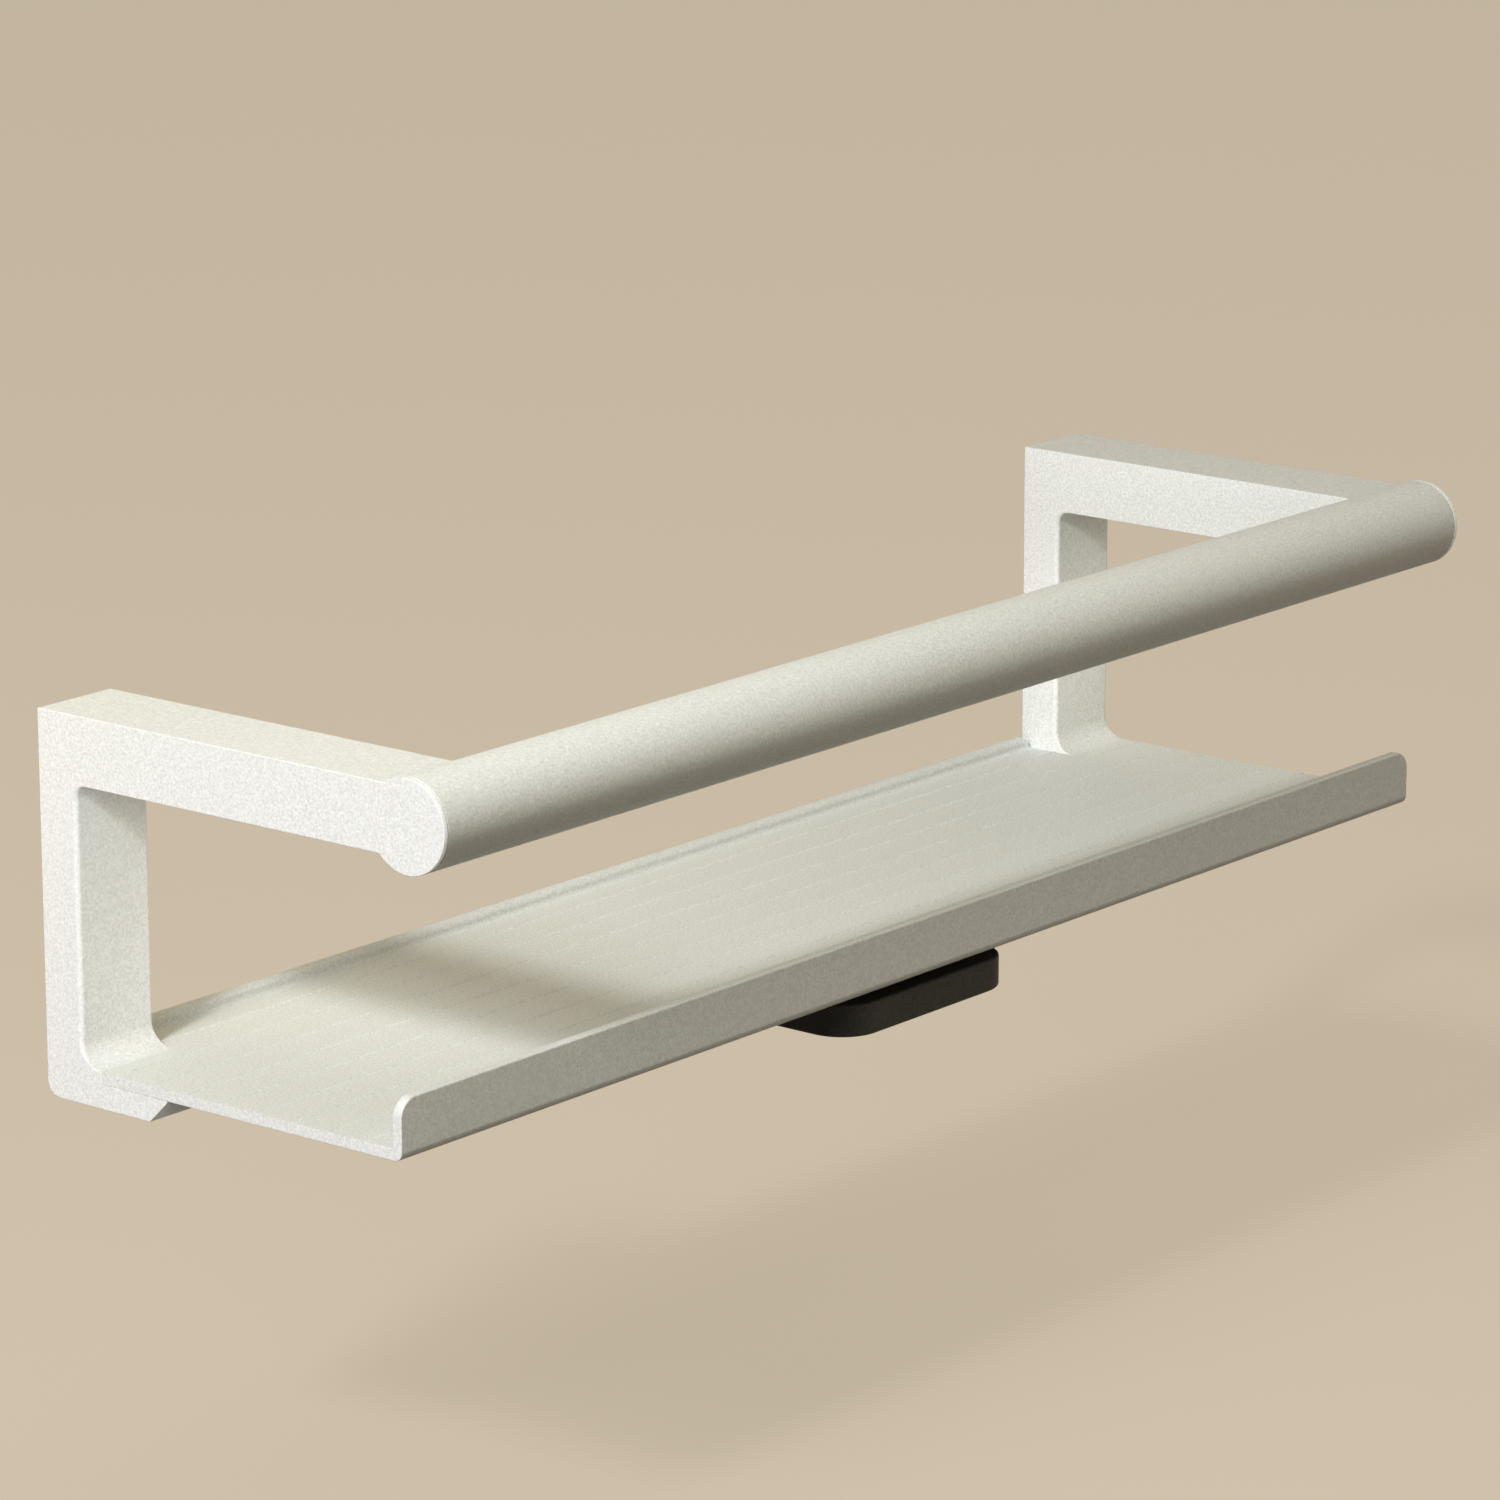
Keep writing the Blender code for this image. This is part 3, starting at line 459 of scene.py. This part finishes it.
def rounded_prism(outline, axis, low, high, edge=EDGE_ROUND):
    """Rings of a form along an axis, with the edges of both end faces rounded."""
    way = 1 if high > low else -1
    depths = round_depths(edge)
    ends = [(low + way * d, d) for d in depths] + [(high - way * d, d) for d in reversed(depths)]
    return [
        [in_space(p, along, axis) for p in inset(outline, [edge_inset(edge, d)] * len(outline))]
        for along, d in ends
    ]


def prism(outline, axis, low, high):
    """Two rings of a plain form along an axis."""
    return [[in_space(point, along, axis) for point in outline] for along in (low, high)]


def turned(centre, profile, axis, sides):
    """Rings of a turned form, one for each (place along the axis, radius) of its profile."""
    return [[in_space(p, along, axis) for p in circle(centre, radius, sides)] for along, radius in profile]


def add(name, rings, parent=None, looped=False):
    """A closed mesh object through rings of points. A looped one joins the last ring to the first."""
    shape = bmesh.new()
    rows = [[shape.verts.new(point) for point in ring] for ring in rings]
    pairs = list(zip(rows, rows[1:]))
    if looped:
        pairs.append((rows[-1], rows[0]))
    for low, high in pairs:
        for i in range(len(low)):
            j = (i + 1) % len(low)
            shape.faces.new((low[i], low[j], high[j], high[i]))
    if not looped:
        shape.faces.new(rows[0])
        shape.faces.new(rows[-1])
    bmesh.ops.recalc_face_normals(shape, faces=shape.faces)
    mesh = bpy.data.meshes.new(name)
    shape.to_mesh(mesh)
    shape.free()
    made = bpy.data.objects.new(name, mesh)
    made.parent = parent
    bpy.context.collection.objects.link(made)
    return made


def boolean(piece, rings, operation):
    """Gives the piece a cut or a join that settle applies later."""
    helper = add(f"{piece.name}_helper", rings, parent=piece)
    change = piece.modifiers.new(helper.name, "BOOLEAN")
    change.operation = operation
    change.object = helper


def cut(piece, rings):
    boolean(piece, rings, "DIFFERENCE")


def join(piece, rings):
    boolean(piece, rings, "UNION")


def settle(piece, finish):
    """Applies the piece's cuts and joins, drops their helpers, and shades it smooth with flat faces kept
    flat."""
    bpy.context.view_layer.update()
    graph = bpy.context.evaluated_depsgraph_get()
    mesh = bpy.data.meshes.new_from_object(piece.evaluated_get(graph))
    piece.modifiers.clear()
    piece.data = mesh
    mesh.name = piece.name
    for helper in list(piece.children):
        bpy.data.objects.remove(helper, do_unlink=True)
    shape = bmesh.new()
    shape.from_mesh(mesh)
    bmesh.ops.remove_doubles(shape, verts=shape.verts, dist=MERGE_DISTANCE)
    bmesh.ops.dissolve_degenerate(shape, edges=shape.edges, dist=SLIVER_LENGTH)
    shape.to_mesh(mesh)
    shape.free()
    mesh.materials.clear()
    mesh.materials.append(finish)
    mesh.shade_smooth()
    mesh.set_sharp_from_angle(angle=math.radians(SHARP_ANGLE))
    even = piece.modifiers.new("flat_faces", "WEIGHTED_NORMAL")
    even.keep_sharp = True
    even.weight = FLAT_FACE_WEIGHT
    return piece


def stand_for(piece, node, body):
    """Hides the node of the solids that the piece stands for, and puts the piece on that node's body."""
    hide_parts(node)
    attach(piece, body)


# Brackets, rail and tray


def window_border():
    """The window's border from arm to toe, as (point, way into the window, share of edge rounding)."""
    border = [((-ARM_END, ARM_BOTTOM), (0, -1), 0.0)]
    top_centre = (-POST_DEPTH - WINDOW_TOP_ROUND, ARM_BOTTOM - WINDOW_TOP_ROUND)
    foot_centre = (-POST_DEPTH - WINDOW_FOOT_ROUND, WINDOW_FOOT_ROUND)
    for i in range(ARC_STEPS + 1):
        turn = math.pi / 2 * i / ARC_STEPS
        out = (math.sin(turn), math.cos(turn))
        point = tuple(c + WINDOW_TOP_ROUND * o for c, o in zip(top_centre, out))
        border.append((point, (-out[0], -out[1]), math.sin(turn)))
    for i in range(ARC_STEPS + 1):
        turn = math.pi / 2 * i / ARC_STEPS
        out = (math.cos(turn), -math.sin(turn))
        point = tuple(c + WINDOW_FOOT_ROUND * o for c, o in zip(foot_centre, out))
        border.append((point, (-out[0], -out[1]), math.cos(turn) ** 3))
    return border


def bracket_outline():
    """The bracket seen from its side, and the radius of the rounded edge at each point."""
    outline = []
    radii = []
    for point, inward, share in window_border():
        outline.append(point)
        radii.append(max(POST_EDGE_ROUND * share, EDGE_ROUND))
    chamfer_top = FOOT_REACH + FOOT_DROP + COAT_SEAT
    toe, chamfer, foot = (-TOE, COAT_SEAT), (-chamfer_top, COAT_SEAT), (-FOOT_REACH, -FOOT_DROP)
    back_centre = (-FOOT_BACK_ROUND, FOOT_BACK_ROUND - FOOT_DROP)
    back = arc(back_centre, FOOT_BACK_ROUND, -90, 0, ARC_STEPS)
    top, end = (0, ARM_TOP), (-ARM_END, ARM_TOP)
    rest = [
        toe,
        *soft_corner(toe, chamfer, foot, CORNER_ROUND),
        *soft_corner(chamfer, foot, back[0], CORNER_ROUND),
        *back,
        *soft_corner(back[-1], top, end, CORNER_ROUND),
        end,
    ]
    seat = EDGE_STEPS + 2
    return outline + rest, radii + [SEAM_EDGE_ROUND] * seat + [EDGE_ROUND] * (len(rest) - seat)


def bracket_rings(side):
    outline, radii = bracket_outline()
    depths = round_depths(EDGE_ROUND, POST_EDGE_ROUND, POST_EDGE_ROUND * 0.7, POST_EDGE_ROUND * 0.4)
    columns = [(d, d) for d in depths] + [(BRACKET_WIDTH - d, d) for d in reversed(depths)]
    return [
        [
            in_space(p, side * (HALF_LENGTH - x), "X")
            for p in inset(outline, [edge_inset(radius, depth) for radius in radii])
        ]
        for x, depth in columns
    ]


def recess_outline():
    """The recess for the wall plate, seen from the bracket's side."""
    low = PLATE_LOW_END - PLATE_FITTING_ROOM
    top = PLATE_LOW_END + PLATE_LENGTH
    deep = -PLATE_THICKNESS - PLATE_CLEARANCE
    slope = PLATE_SLOPE / PLATE_THICKNESS
    return [
        (CUT, low),
        (deep, low),
        (deep, top + slope * PLATE_CLEARANCE + PLATE_CLEARANCE),
        (CUT, top - PLATE_SLOPE - slope * CUT + PLATE_CLEARANCE),
    ]


def stud_places(spacing):
    """Distances from the shelf's end to a bracket's two studs."""
    return ((BRACKET_WIDTH - spacing) / 2, (BRACKET_WIDTH + spacing) / 2)


def add_bracket(side_name, finish):
    side = SIDES[side_name]
    body = add(f"coated_bracket_{side_name}", bracket_rings(side))
    end = side * HALF_LENGTH
    face = [
        (end - side * EDGE_ROUND * (1 - math.cos(t)), RAIL_RADIUS - EDGE_ROUND * (1 - math.sin(t)))
        for t in (math.pi / 2 * i / EDGE_STEPS for i in range(EDGE_STEPS + 1))
    ]
    disc_and_spigot = face + [
        (end - side * END_DISC_THICKNESS, RAIL_RADIUS),
        (end - side * END_DISC_THICKNESS, SPIGOT_RADIUS),
        (end - side * SPIGOT_LENGTH, SPIGOT_RADIUS),
    ]
    join(body, turned((-RAIL_OUT, RAIL_HEIGHT), disc_and_spigot, "X", RAIL_SIDES))
    middle = side * (HALF_LENGTH - BRACKET_WIDTH / 2)
    half = PLATE_WIDTH / 2 + PLATE_CLEARANCE
    cut(body, prism(recess_outline(), "X", middle - half, middle + half))
    hole = circle((middle, -POST_SCREW_FROM_WALL), POST_SCREW_RADIUS + SCREW_CLEARANCE, HOLE_SIDES)
    cut(body, prism(hole, "Z", -FOOT_DROP - CUT, PLATE_LOW_END))
    hole = circle((middle, -RAIL_OUT), RAIL_SCREW_RADIUS + SCREW_CLEARANCE, HOLE_SIDES)
    foot_of_rail = RAIL_HEIGHT - RAIL_RADIUS
    cut(body, prism(hole, "Z", foot_of_rail - CUT, foot_of_rail + RAIL_SCREW_LENGTH + 2 * SEAM))
    for across in stud_places(TRAY_STUD_SPACING):
        centre = (side * (HALF_LENGTH - across), -TRAY_STUD_OUT)
        hole = circle(centre, TRAY_STUD_RADIUS + SCREW_CLEARANCE, HOLE_SIDES)
        cut(body, prism(hole, "Z", -FOOT_DROP - CUT, SEAT + CUT))
        pocket = circle(centre, TRAY_NUT_FLATS / math.sqrt(3) + NUT_CLEARANCE, HOLE_SIDES)
        cut(body, prism(pocket, "Z", -FOOT_DROP - CUT, SEAT - FOOT_WEB))
    settle(body, finish)
    stand_for(body, f"bracket_{side_name}", "shelf")
    return body


def add_rail(finish):
    centre = (-RAIL_OUT, RAIL_HEIGHT)
    end = HALF_LENGTH - END_DISC_THICKNESS - SEAM
    edge = RAIL_END_ROUND
    corners = [(-end + edge, RAIL_RADIUS), (end - edge, RAIL_RADIUS), (end, RAIL_RADIUS - edge)]
    corners += [(end, RAIL_RADIUS - RAIL_WALL), (-end, RAIL_RADIUS - RAIL_WALL), (-end, RAIL_RADIUS - edge)]
    rail = add("coated_rail", turned(centre, corners, "X", RAIL_SIDES), looped=True)
    slot = rectangle(-RAIL_OUT, CUT - RAIL_OUT + RAIL_RADIUS, ARM_BOTTOM - SEAM, ARM_TOP + SEAM)
    for side in SIDES.values():
        inward = side * (HALF_LENGTH - BRACKET_WIDTH - SEAM)
        cut(rail, prism(slot, "X", inward, side * (HALF_LENGTH + CUT)))
        place = (side * (HALF_LENGTH - BRACKET_WIDTH / 2), -RAIL_OUT)
        hole = circle(place, RAIL_SCREW_RADIUS + SCREW_CLEARANCE, HOLE_SIDES)
        foot = RAIL_HEIGHT - RAIL_RADIUS
        cut(rail, prism(hole, "Z", foot - CUT, foot + RAIL_WALL + CUT))
    settle(rail, finish)
    stand_for(rail, "rail_tube", "shelf")
    return rail


def tray_outline(lip_height):
    """The tray's section with its lip at a given height, from the wall along the underside and back, and the
    radius of the end's rounded edge at each point: none on the ribs, which run out through the end."""
    back = -TRAY_WALL_GAP
    inside = -TRAY_DEPTH + LIP_THICKNESS
    outline = [(back, -TRAY_THICKNESS)]
    foot_centre = (-TRAY_DEPTH + LIP_FOOT_ROUND, LIP_FOOT_ROUND - TRAY_THICKNESS)
    outline += arc(foot_centre, LIP_FOOT_ROUND, 270, 180, ARC_STEPS)
    top = lip_height - LIP_TOP_ROUND
    outline += arc((-TRAY_DEPTH + LIP_TOP_ROUND, top), LIP_TOP_ROUND, 180, 90, EDGE_STEPS)
    outline += arc((inside - LIP_TOP_ROUND, top), LIP_TOP_ROUND, 90, 0, EDGE_STEPS)
    outline += arc((inside + LIP_INNER_ROUND, LIP_INNER_ROUND), LIP_INNER_ROUND, 180, 270, EDGE_STEPS + 1)
    half = RIB_WIDTH / 2
    count = int((TRAY_DEPTH - LIP_THICKNESS - LIP_INNER_ROUND - half - RIB_START) / RIB_PITCH)
    radii = [SEAM_EDGE_ROUND] + [EDGE_ROUND] * (len(outline) - 1)
    for i in range(count, 0, -1):
        middle = -RIB_START - i * RIB_PITCH
        for step in range(-RIB_STEPS, RIB_STEPS + 1):
            share = step / RIB_STEPS
            outline.append((middle + half * share, RIB_HEIGHT * (1 + math.cos(math.pi * share)) / 2))
    radii += [0.0] * (len(outline) - len(radii))
    rim_front = back - RIM_THICKNESS
    outline += arc((rim_front - RIM_FOOT_ROUND, RIM_FOOT_ROUND), RIM_FOOT_ROUND, 270, 360, EDGE_STEPS + 3)
    top_centre = (rim_front + RIM_TOP_ROUND, RIM_HEIGHT - RIM_TOP_ROUND)
    outline += arc(top_centre, RIM_TOP_ROUND, 180, 90, EDGE_STEPS + 3)
    outline += [(back, RIM_HEIGHT)]
    radii += [EDGE_ROUND] * (len(outline) - len(radii))
    return outline, radii


def tray_rings():
    """Rings along the tray. Near each end the lip comes down in a quarter round."""
    turns = [math.pi / 2 * i / ARC_STEPS for i in range(ARC_STEPS + 1)]
    depths = {round(LIP_CORNER_ROUND * (1 - math.cos(turn)), 7) for turn in turns}
    depths |= set(round_depths(EDGE_ROUND))
    half = []
    for d in sorted(depths):
        left = LIP_CORNER_ROUND - d
        rise = math.sqrt(max(LIP_CORNER_ROUND**2 - left * left, 0.0))
        outline, radii = tray_outline(LIP_HEIGHT - LIP_CORNER_ROUND + rise)
        half.append((d, inset(outline, [edge_inset(radius, d) for radius in radii])))
    rings = [[in_space(p, -HALF_LENGTH + d, "X") for p in outline] for d, outline in half]
    rings += [[in_space(p, HALF_LENGTH - d, "X") for p in outline] for d, outline in reversed(half)]
    return rings


def rim_end_cutter(side):
    """The outline, seen from the front, that takes the wall rim away at one end and rounds its corner."""
    inner = HALF_LENGTH - BRACKET_WIDTH - RIM_END_GAP
    corner = arc((inner - RIM_END_ROUND, RIM_HEIGHT - RIM_END_ROUND), RIM_END_ROUND, 0, 90, ARC_STEPS)
    outer = HALF_LENGTH + CUT
    high = RIM_HEIGHT + CUT
    outline = [(inner, 0), *corner, (inner - RIM_END_ROUND, high), (outer, high), (outer, 0)]
    return [(side * a, b) for a, b in outline]


def add_tray(finish):
    tray = add("coated_tray", tray_rings())
    back = CUT - TRAY_WALL_GAP
    for side in SIDES.values():
        inner = side * (HALF_LENGTH - BRACKET_WIDTH - COAT_SEAM)
        notch = rectangle(-TOE - COAT_SEAM, back, -TRAY_THICKNESS - CUT, RIM_HEIGHT + CUT)
        cut(tray, prism(notch, "X", inner, side * (HALF_LENGTH + CUT)))
        rim_front = -TRAY_WALL_GAP - RIM_THICKNESS - RIM_FOOT_ROUND - SEAM
        cut(tray, prism(rim_end_cutter(side), "Y", rim_front, back))
        length = FOOT_WEB + TRAY_NUT_HEIGHT + 2 * SEAM + TRAY_STUD_PAST_NUT
        for across in stud_places(TRAY_STUD_SPACING):
            stud = circle((side * (HALF_LENGTH - across), -TRAY_STUD_OUT), TRAY_STUD_RADIUS, HOLE_SIDES)
            foot = -TRAY_THICKNESS - length
            join(tray, rounded_prism(stud, "Z", foot, -TRAY_THICKNESS / 2, TRAY_STUD_END_ROUND))
        stud = circle((side * DOCK_STUD_SPACING / 2, DOCK_STUD_Y), DOCK_STUD_RADIUS, HOLE_SIDES)
        join(tray, rounded_prism(stud, "Z", DOCK_FOOT + SEAM, -TRAY_THICKNESS / 2, DOCK_STUD_END_ROUND))
    settle(tray, finish)
    stand_for(tray, "shelf_tray", "shelf")
    return tray


# Wiper


def add_grip(finish):
    half = GRIP_WIDTH / 2
    outline = rounded_rectangle(-half, half, GRIP_FRONT, GRIP_BACK, GRIP_CORNER_ROUND, ARC_STEPS)
    grip = add("moulded_grip", rounded_prism(outline, "Z", GRIP_FOOT, GRIP_TOP, GRIP_EDGE_ROUND))
    mouth = TONGUE_TOP_WIDTH / 2 + SLIDE_CLEARANCE
    bed = TONGUE_FOOT_WIDTH / 2 + SLIDE_CLEARANCE
    groove = [(-mouth, GRIP_TOP + CUT), (-mouth, GRIP_TOP), (-bed, GROOVE_FLOOR)]
    groove += [(bed, GROOVE_FLOOR), (mouth, GRIP_TOP), (mouth, GRIP_TOP + CUT)]
    cut(grip, prism(groove, "Y", TONGUE_FRONT - SLIDE_CLEARANCE, GRIP_BACK + CUT))
    size = KEEPER_SIZE / 2 + SEAM
    pocket = rectangle(-size, size, MAGNET_Y - size, MAGNET_Y + size)
    cut(grip, prism(pocket, "Z", GROOVE_FLOOR - KEEPER_THICKNESS - 2 * SEAM, GROOVE_FLOOR + CUT / 2))
    rebate = rectangle(BAR_FRONT - SEAM, GRIP_BACK + CUT, GRIP_FOOT - CUT, BAR_TOP + SEAM)
    cut(grip, prism(rebate, "X", -half - CUT, half + CUT))
    for side in SIDES.values():
        centre = (side * BAR_SCREW_SPACING / 2, BAR_SCREW_Y)
        hole = circle(centre, BAR_SCREW_RADIUS + SCREW_CLEARANCE, HOLE_SIDES)
        cut(grip, prism(hole, "Z", GRIP_FOOT - CUT, GRIP_FOOT + BAR_SCREW_LENGTH + 2 * SEAM))
    settle(grip, finish)
    stand_for(grip, "wiper_grip", "wiper")


def bar_outline():
    """The bar's section with rounded edges and the channel that holds the blade's bead."""
    slit = BLADE_THICKNESS / 2 + SEAM
    reach = BEAD_RADIUS + SEAM
    start = math.degrees(math.asin(slit / reach))
    channel = arc((BEAD_Y, BEAD_Z), reach, start, 360 - start, ARC_STEPS)
    r = BAR_EDGE_ROUND
    return [
        (BAR_BACK, BEAD_Z + slit),
        *channel,
        (BAR_BACK, BEAD_Z - slit),
        *arc((BAR_BACK - r, GRIP_FOOT + r), r, 0, -90, EDGE_STEPS),
        *arc((BAR_FRONT + r, GRIP_FOOT + r), r, -90, -180, EDGE_STEPS),
        *arc((BAR_FRONT + r, BAR_TOP - r), r, 180, 90, EDGE_STEPS),
        *arc((BAR_BACK - r, BAR_TOP - r), r, 90, 0, EDGE_STEPS),
    ]


def add_bar(finish):
    half = BAR_LENGTH / 2
    bar = add("anodised_bar", prism(bar_outline(), "X", -half, half))
    head = BAR_SCREW_HEAD_RADIUS - BAR_SCREW_RADIUS
    wide = BAR_SCREW_HEAD_RADIUS + SCREW_CLEARANCE
    narrow = BAR_SCREW_RADIUS + SCREW_CLEARANCE
    profile = [(GRIP_FOOT - CUT, wide + CUT), (GRIP_FOOT + head, narrow), (BAR_TOP + CUT, narrow)]
    for side in SIDES.values():
        cut(bar, turned((side * BAR_SCREW_SPACING / 2, BAR_SCREW_Y), profile, "Z", HOLE_SIDES))
        peg_hole = circle((BAR_FRONT + CAP_PEG_FROM_FRONT, BEAD_Z), CAP_PEG_RADIUS + SEAM, HOLE_SIDES)
        cut(bar, prism(peg_hole, "X", side * (half - CAP_PEG_LENGTH - SEAM), side * (half + CUT)))
    settle(bar, finish)
    stand_for(bar, "wiper_blade_bar", "wiper")


# Camera, light and background


def add_camera():
    a, e, roll = (math.radians(x) for x in (CAMERA_AZIMUTH, CAMERA_ELEVATION, CAMERA_ROLL))
    back = Vector((math.sin(a) * math.cos(e), -math.cos(a) * math.cos(e), math.sin(e)))
    right = Vector((0, 0, 1)).cross(back).normalized()
    up = back.cross(right)
    tilted_right = right * math.cos(roll) + up * math.sin(roll)
    tilted_up = up * math.cos(roll) - right * math.sin(roll)
    camera = bpy.data.cameras.new("camera")
    camera.lens = CAMERA_LENS
    camera.sensor_width = SENSOR
    camera.clip_start = 0.01
    camera.clip_end = 100.0
    holder = bpy.data.objects.new("camera", camera)
    turn = Matrix((tilted_right, tilted_up, back)).transposed().to_4x4()
    holder.matrix_world = Matrix.Translation(CAMERA_PLACE) @ turn
    bpy.context.collection.objects.link(holder)
    bpy.context.scene.camera = holder


def add_lamp(name, direction, distance, size, power, colour):
    light = bpy.data.lights.new(name, "AREA")
    light.shape = "DISK"
    light.size = size
    light.energy = power
    light.color = colour
    lamp = bpy.data.objects.new(name, light)
    lamp.location = Vector(direction).normalized() * distance
    lamp.rotation_euler = (Vector(LAMP_TARGET) - lamp.location).to_track_quat("-Z", "Y").to_euler()
    bpy.context.collection.objects.link(lamp)
    return lamp


def light_only(lamp, pieces):
    """Keeps the lamp's light to the given pieces."""
    group = bpy.data.collections.new(f"{lamp.name}_pieces")
    for piece in pieces:
        group.objects.link(piece)
    lamp.light_linking.receiver_collection = group


def seen_directly(tree):
    """An output that is 1 for rays from the camera and for those that mirrors and glass pass on."""
    rays = tree.nodes.new("ShaderNodeLightPath")
    passed_on = tree.nodes.new("ShaderNodeMath")
    direct = tree.nodes.new("ShaderNodeMath")
    passed_on.operation = direct.operation = "MAXIMUM"
    tree.links.new(rays.outputs["Is Glossy Ray"], passed_on.inputs[0])
    tree.links.new(rays.outputs["Is Transmission Ray"], passed_on.inputs[1])
    tree.links.new(rays.outputs["Is Camera Ray"], direct.inputs[0])
    tree.links.new(passed_on.outputs[0], direct.inputs[1])
    return direct.outputs[0]


def add_floor():
    """A plain floor some way below the shelf. What the camera sees of it is mostly its own even colour, and
    the rest is lit, so that the shelf's shadow shows on it."""
    size = FLOOR_HALF_SIZE
    corners = rectangle(-size, size, -size, size)
    floor = add("floor", prism(corners, "Z", FLOOR_HEIGHT - FLOOR_THICKNESS, FLOOR_HEIGHT))
    n = Nodes("plain_floor")
    n.tree.nodes.remove(n.shader)
    out = n.tree.nodes["Material Output"]
    lit = n.add("ShaderNodeBsdfDiffuse")
    lit.inputs["Color"].default_value = (*BACKGROUND, 1.0)
    bounce = n.add("ShaderNodeBsdfDiffuse")
    bounce.inputs["Color"].default_value = (*FLOOR_BOUNCE, 1.0)
    even = n.add("ShaderNodeEmission")
    even.inputs["Color"].default_value = (*BACKGROUND, 1.0)
    even.inputs["Strength"].default_value = FLOOR_GLOW
    seen = n.add("ShaderNodeMixShader")
    seen.inputs["Fac"].default_value = FLOOR_LIT_SHARE
    n.join(even.outputs[0], seen.inputs[1])
    n.join(lit.outputs[0], seen.inputs[2])
    choice = n.add("ShaderNodeMixShader")
    n.join(seen_directly(n.tree), choice.inputs["Fac"])
    n.join(bounce.outputs[0], choice.inputs[1])
    n.join(seen.outputs[0], choice.inputs[2])
    n.join(choice.outputs[0], out.inputs["Surface"])
    floor.data.materials.append(n.material)


def from_the_right(tree):
    """An output that is 1 on the right and fades to 0 towards the front, the wall, above and below."""
    place = tree.nodes.new("ShaderNodeTexCoord")
    parts = tree.nodes.new("ShaderNodeSeparateXYZ")
    right = tree.nodes.new("ShaderNodeMath")
    right.operation = "MAXIMUM"
    right.inputs[1].default_value = 0.0
    tree.links.new(place.outputs["Generated"], parts.inputs[0])
    tree.links.new(parts.outputs["X"], right.inputs[0])
    return right.outputs[0]


def add_world():
    """Soft light from the right, and a plain backdrop for the rays that see it directly."""
    world = bpy.data.worlds.new("studio")
    world.use_nodes = True
    tree = world.node_tree
    tree.nodes.clear()
    fill = tree.nodes.new("ShaderNodeBackground")
    fill.inputs["Color"].default_value = (*SIDE_LIGHT, 1.0)
    tree.links.new(from_the_right(tree), fill.inputs["Strength"])
    seen = tree.nodes.new("ShaderNodeBackground")
    seen.inputs["Color"].default_value = (*FAR_BACKGROUND, 1.0)
    mix = tree.nodes.new("ShaderNodeMixShader")
    tree.links.new(seen_directly(tree), mix.inputs["Fac"])
    tree.links.new(fill.outputs[0], mix.inputs[1])
    tree.links.new(seen.outputs[0], mix.inputs[2])
    out = tree.nodes.new("ShaderNodeOutputWorld")
    tree.links.new(mix.outputs[0], out.inputs["Surface"])
    bpy.context.scene.world = world


def main():
    coat = powder_coat()
    plastic = moulded_plastic()
    steel = brushed_metal("plain_steel", (0.46, 0.46, 0.47), (0.60, 0.60, 0.61), 0.36, 1.0, (2600, 2600, 60))
    black_bar = brushed_metal(
        "black_anodised", (0.030, 0.030, 0.033), (0.050, 0.050, 0.055), 0.42, 0.6, (50, 2800, 2800)
    )
    rubber = soft_rubber()
    nickel = nickel_plate()
    finishes = {
        "white_powder_coat": coat,
        "black_plastic": plastic,
        "steel_parts": steel,
        "black_aluminium": black_bar,
        "black_rubber": rubber,
        "nickel": nickel,
    }
    for row in frame["record"]["subparts"]:
        node = frame["nodes"][row["node"]]
        for slot in node.material_slots:
            slot.material = finishes[row["material_slot"]]
    brackets = [add_bracket(side_name, coat) for side_name in SIDES]
    coated = [*brackets, add_rail(coat), add_tray(coat)]
    add_grip(plastic)
    add_bar(black_bar)
    add_camera()
    lamps = {name: add_lamp(name, *settings) for name, settings in LAMPS.items()}
    light_only(lamps["post_fill"], brackets)
    light_only(lamps["left_fill"], coated)
    light_only(lamps["near_fill"], coated)
    add_floor()
    add_world()
    bpy.context.scene.view_settings.view_transform = "Standard"


main()
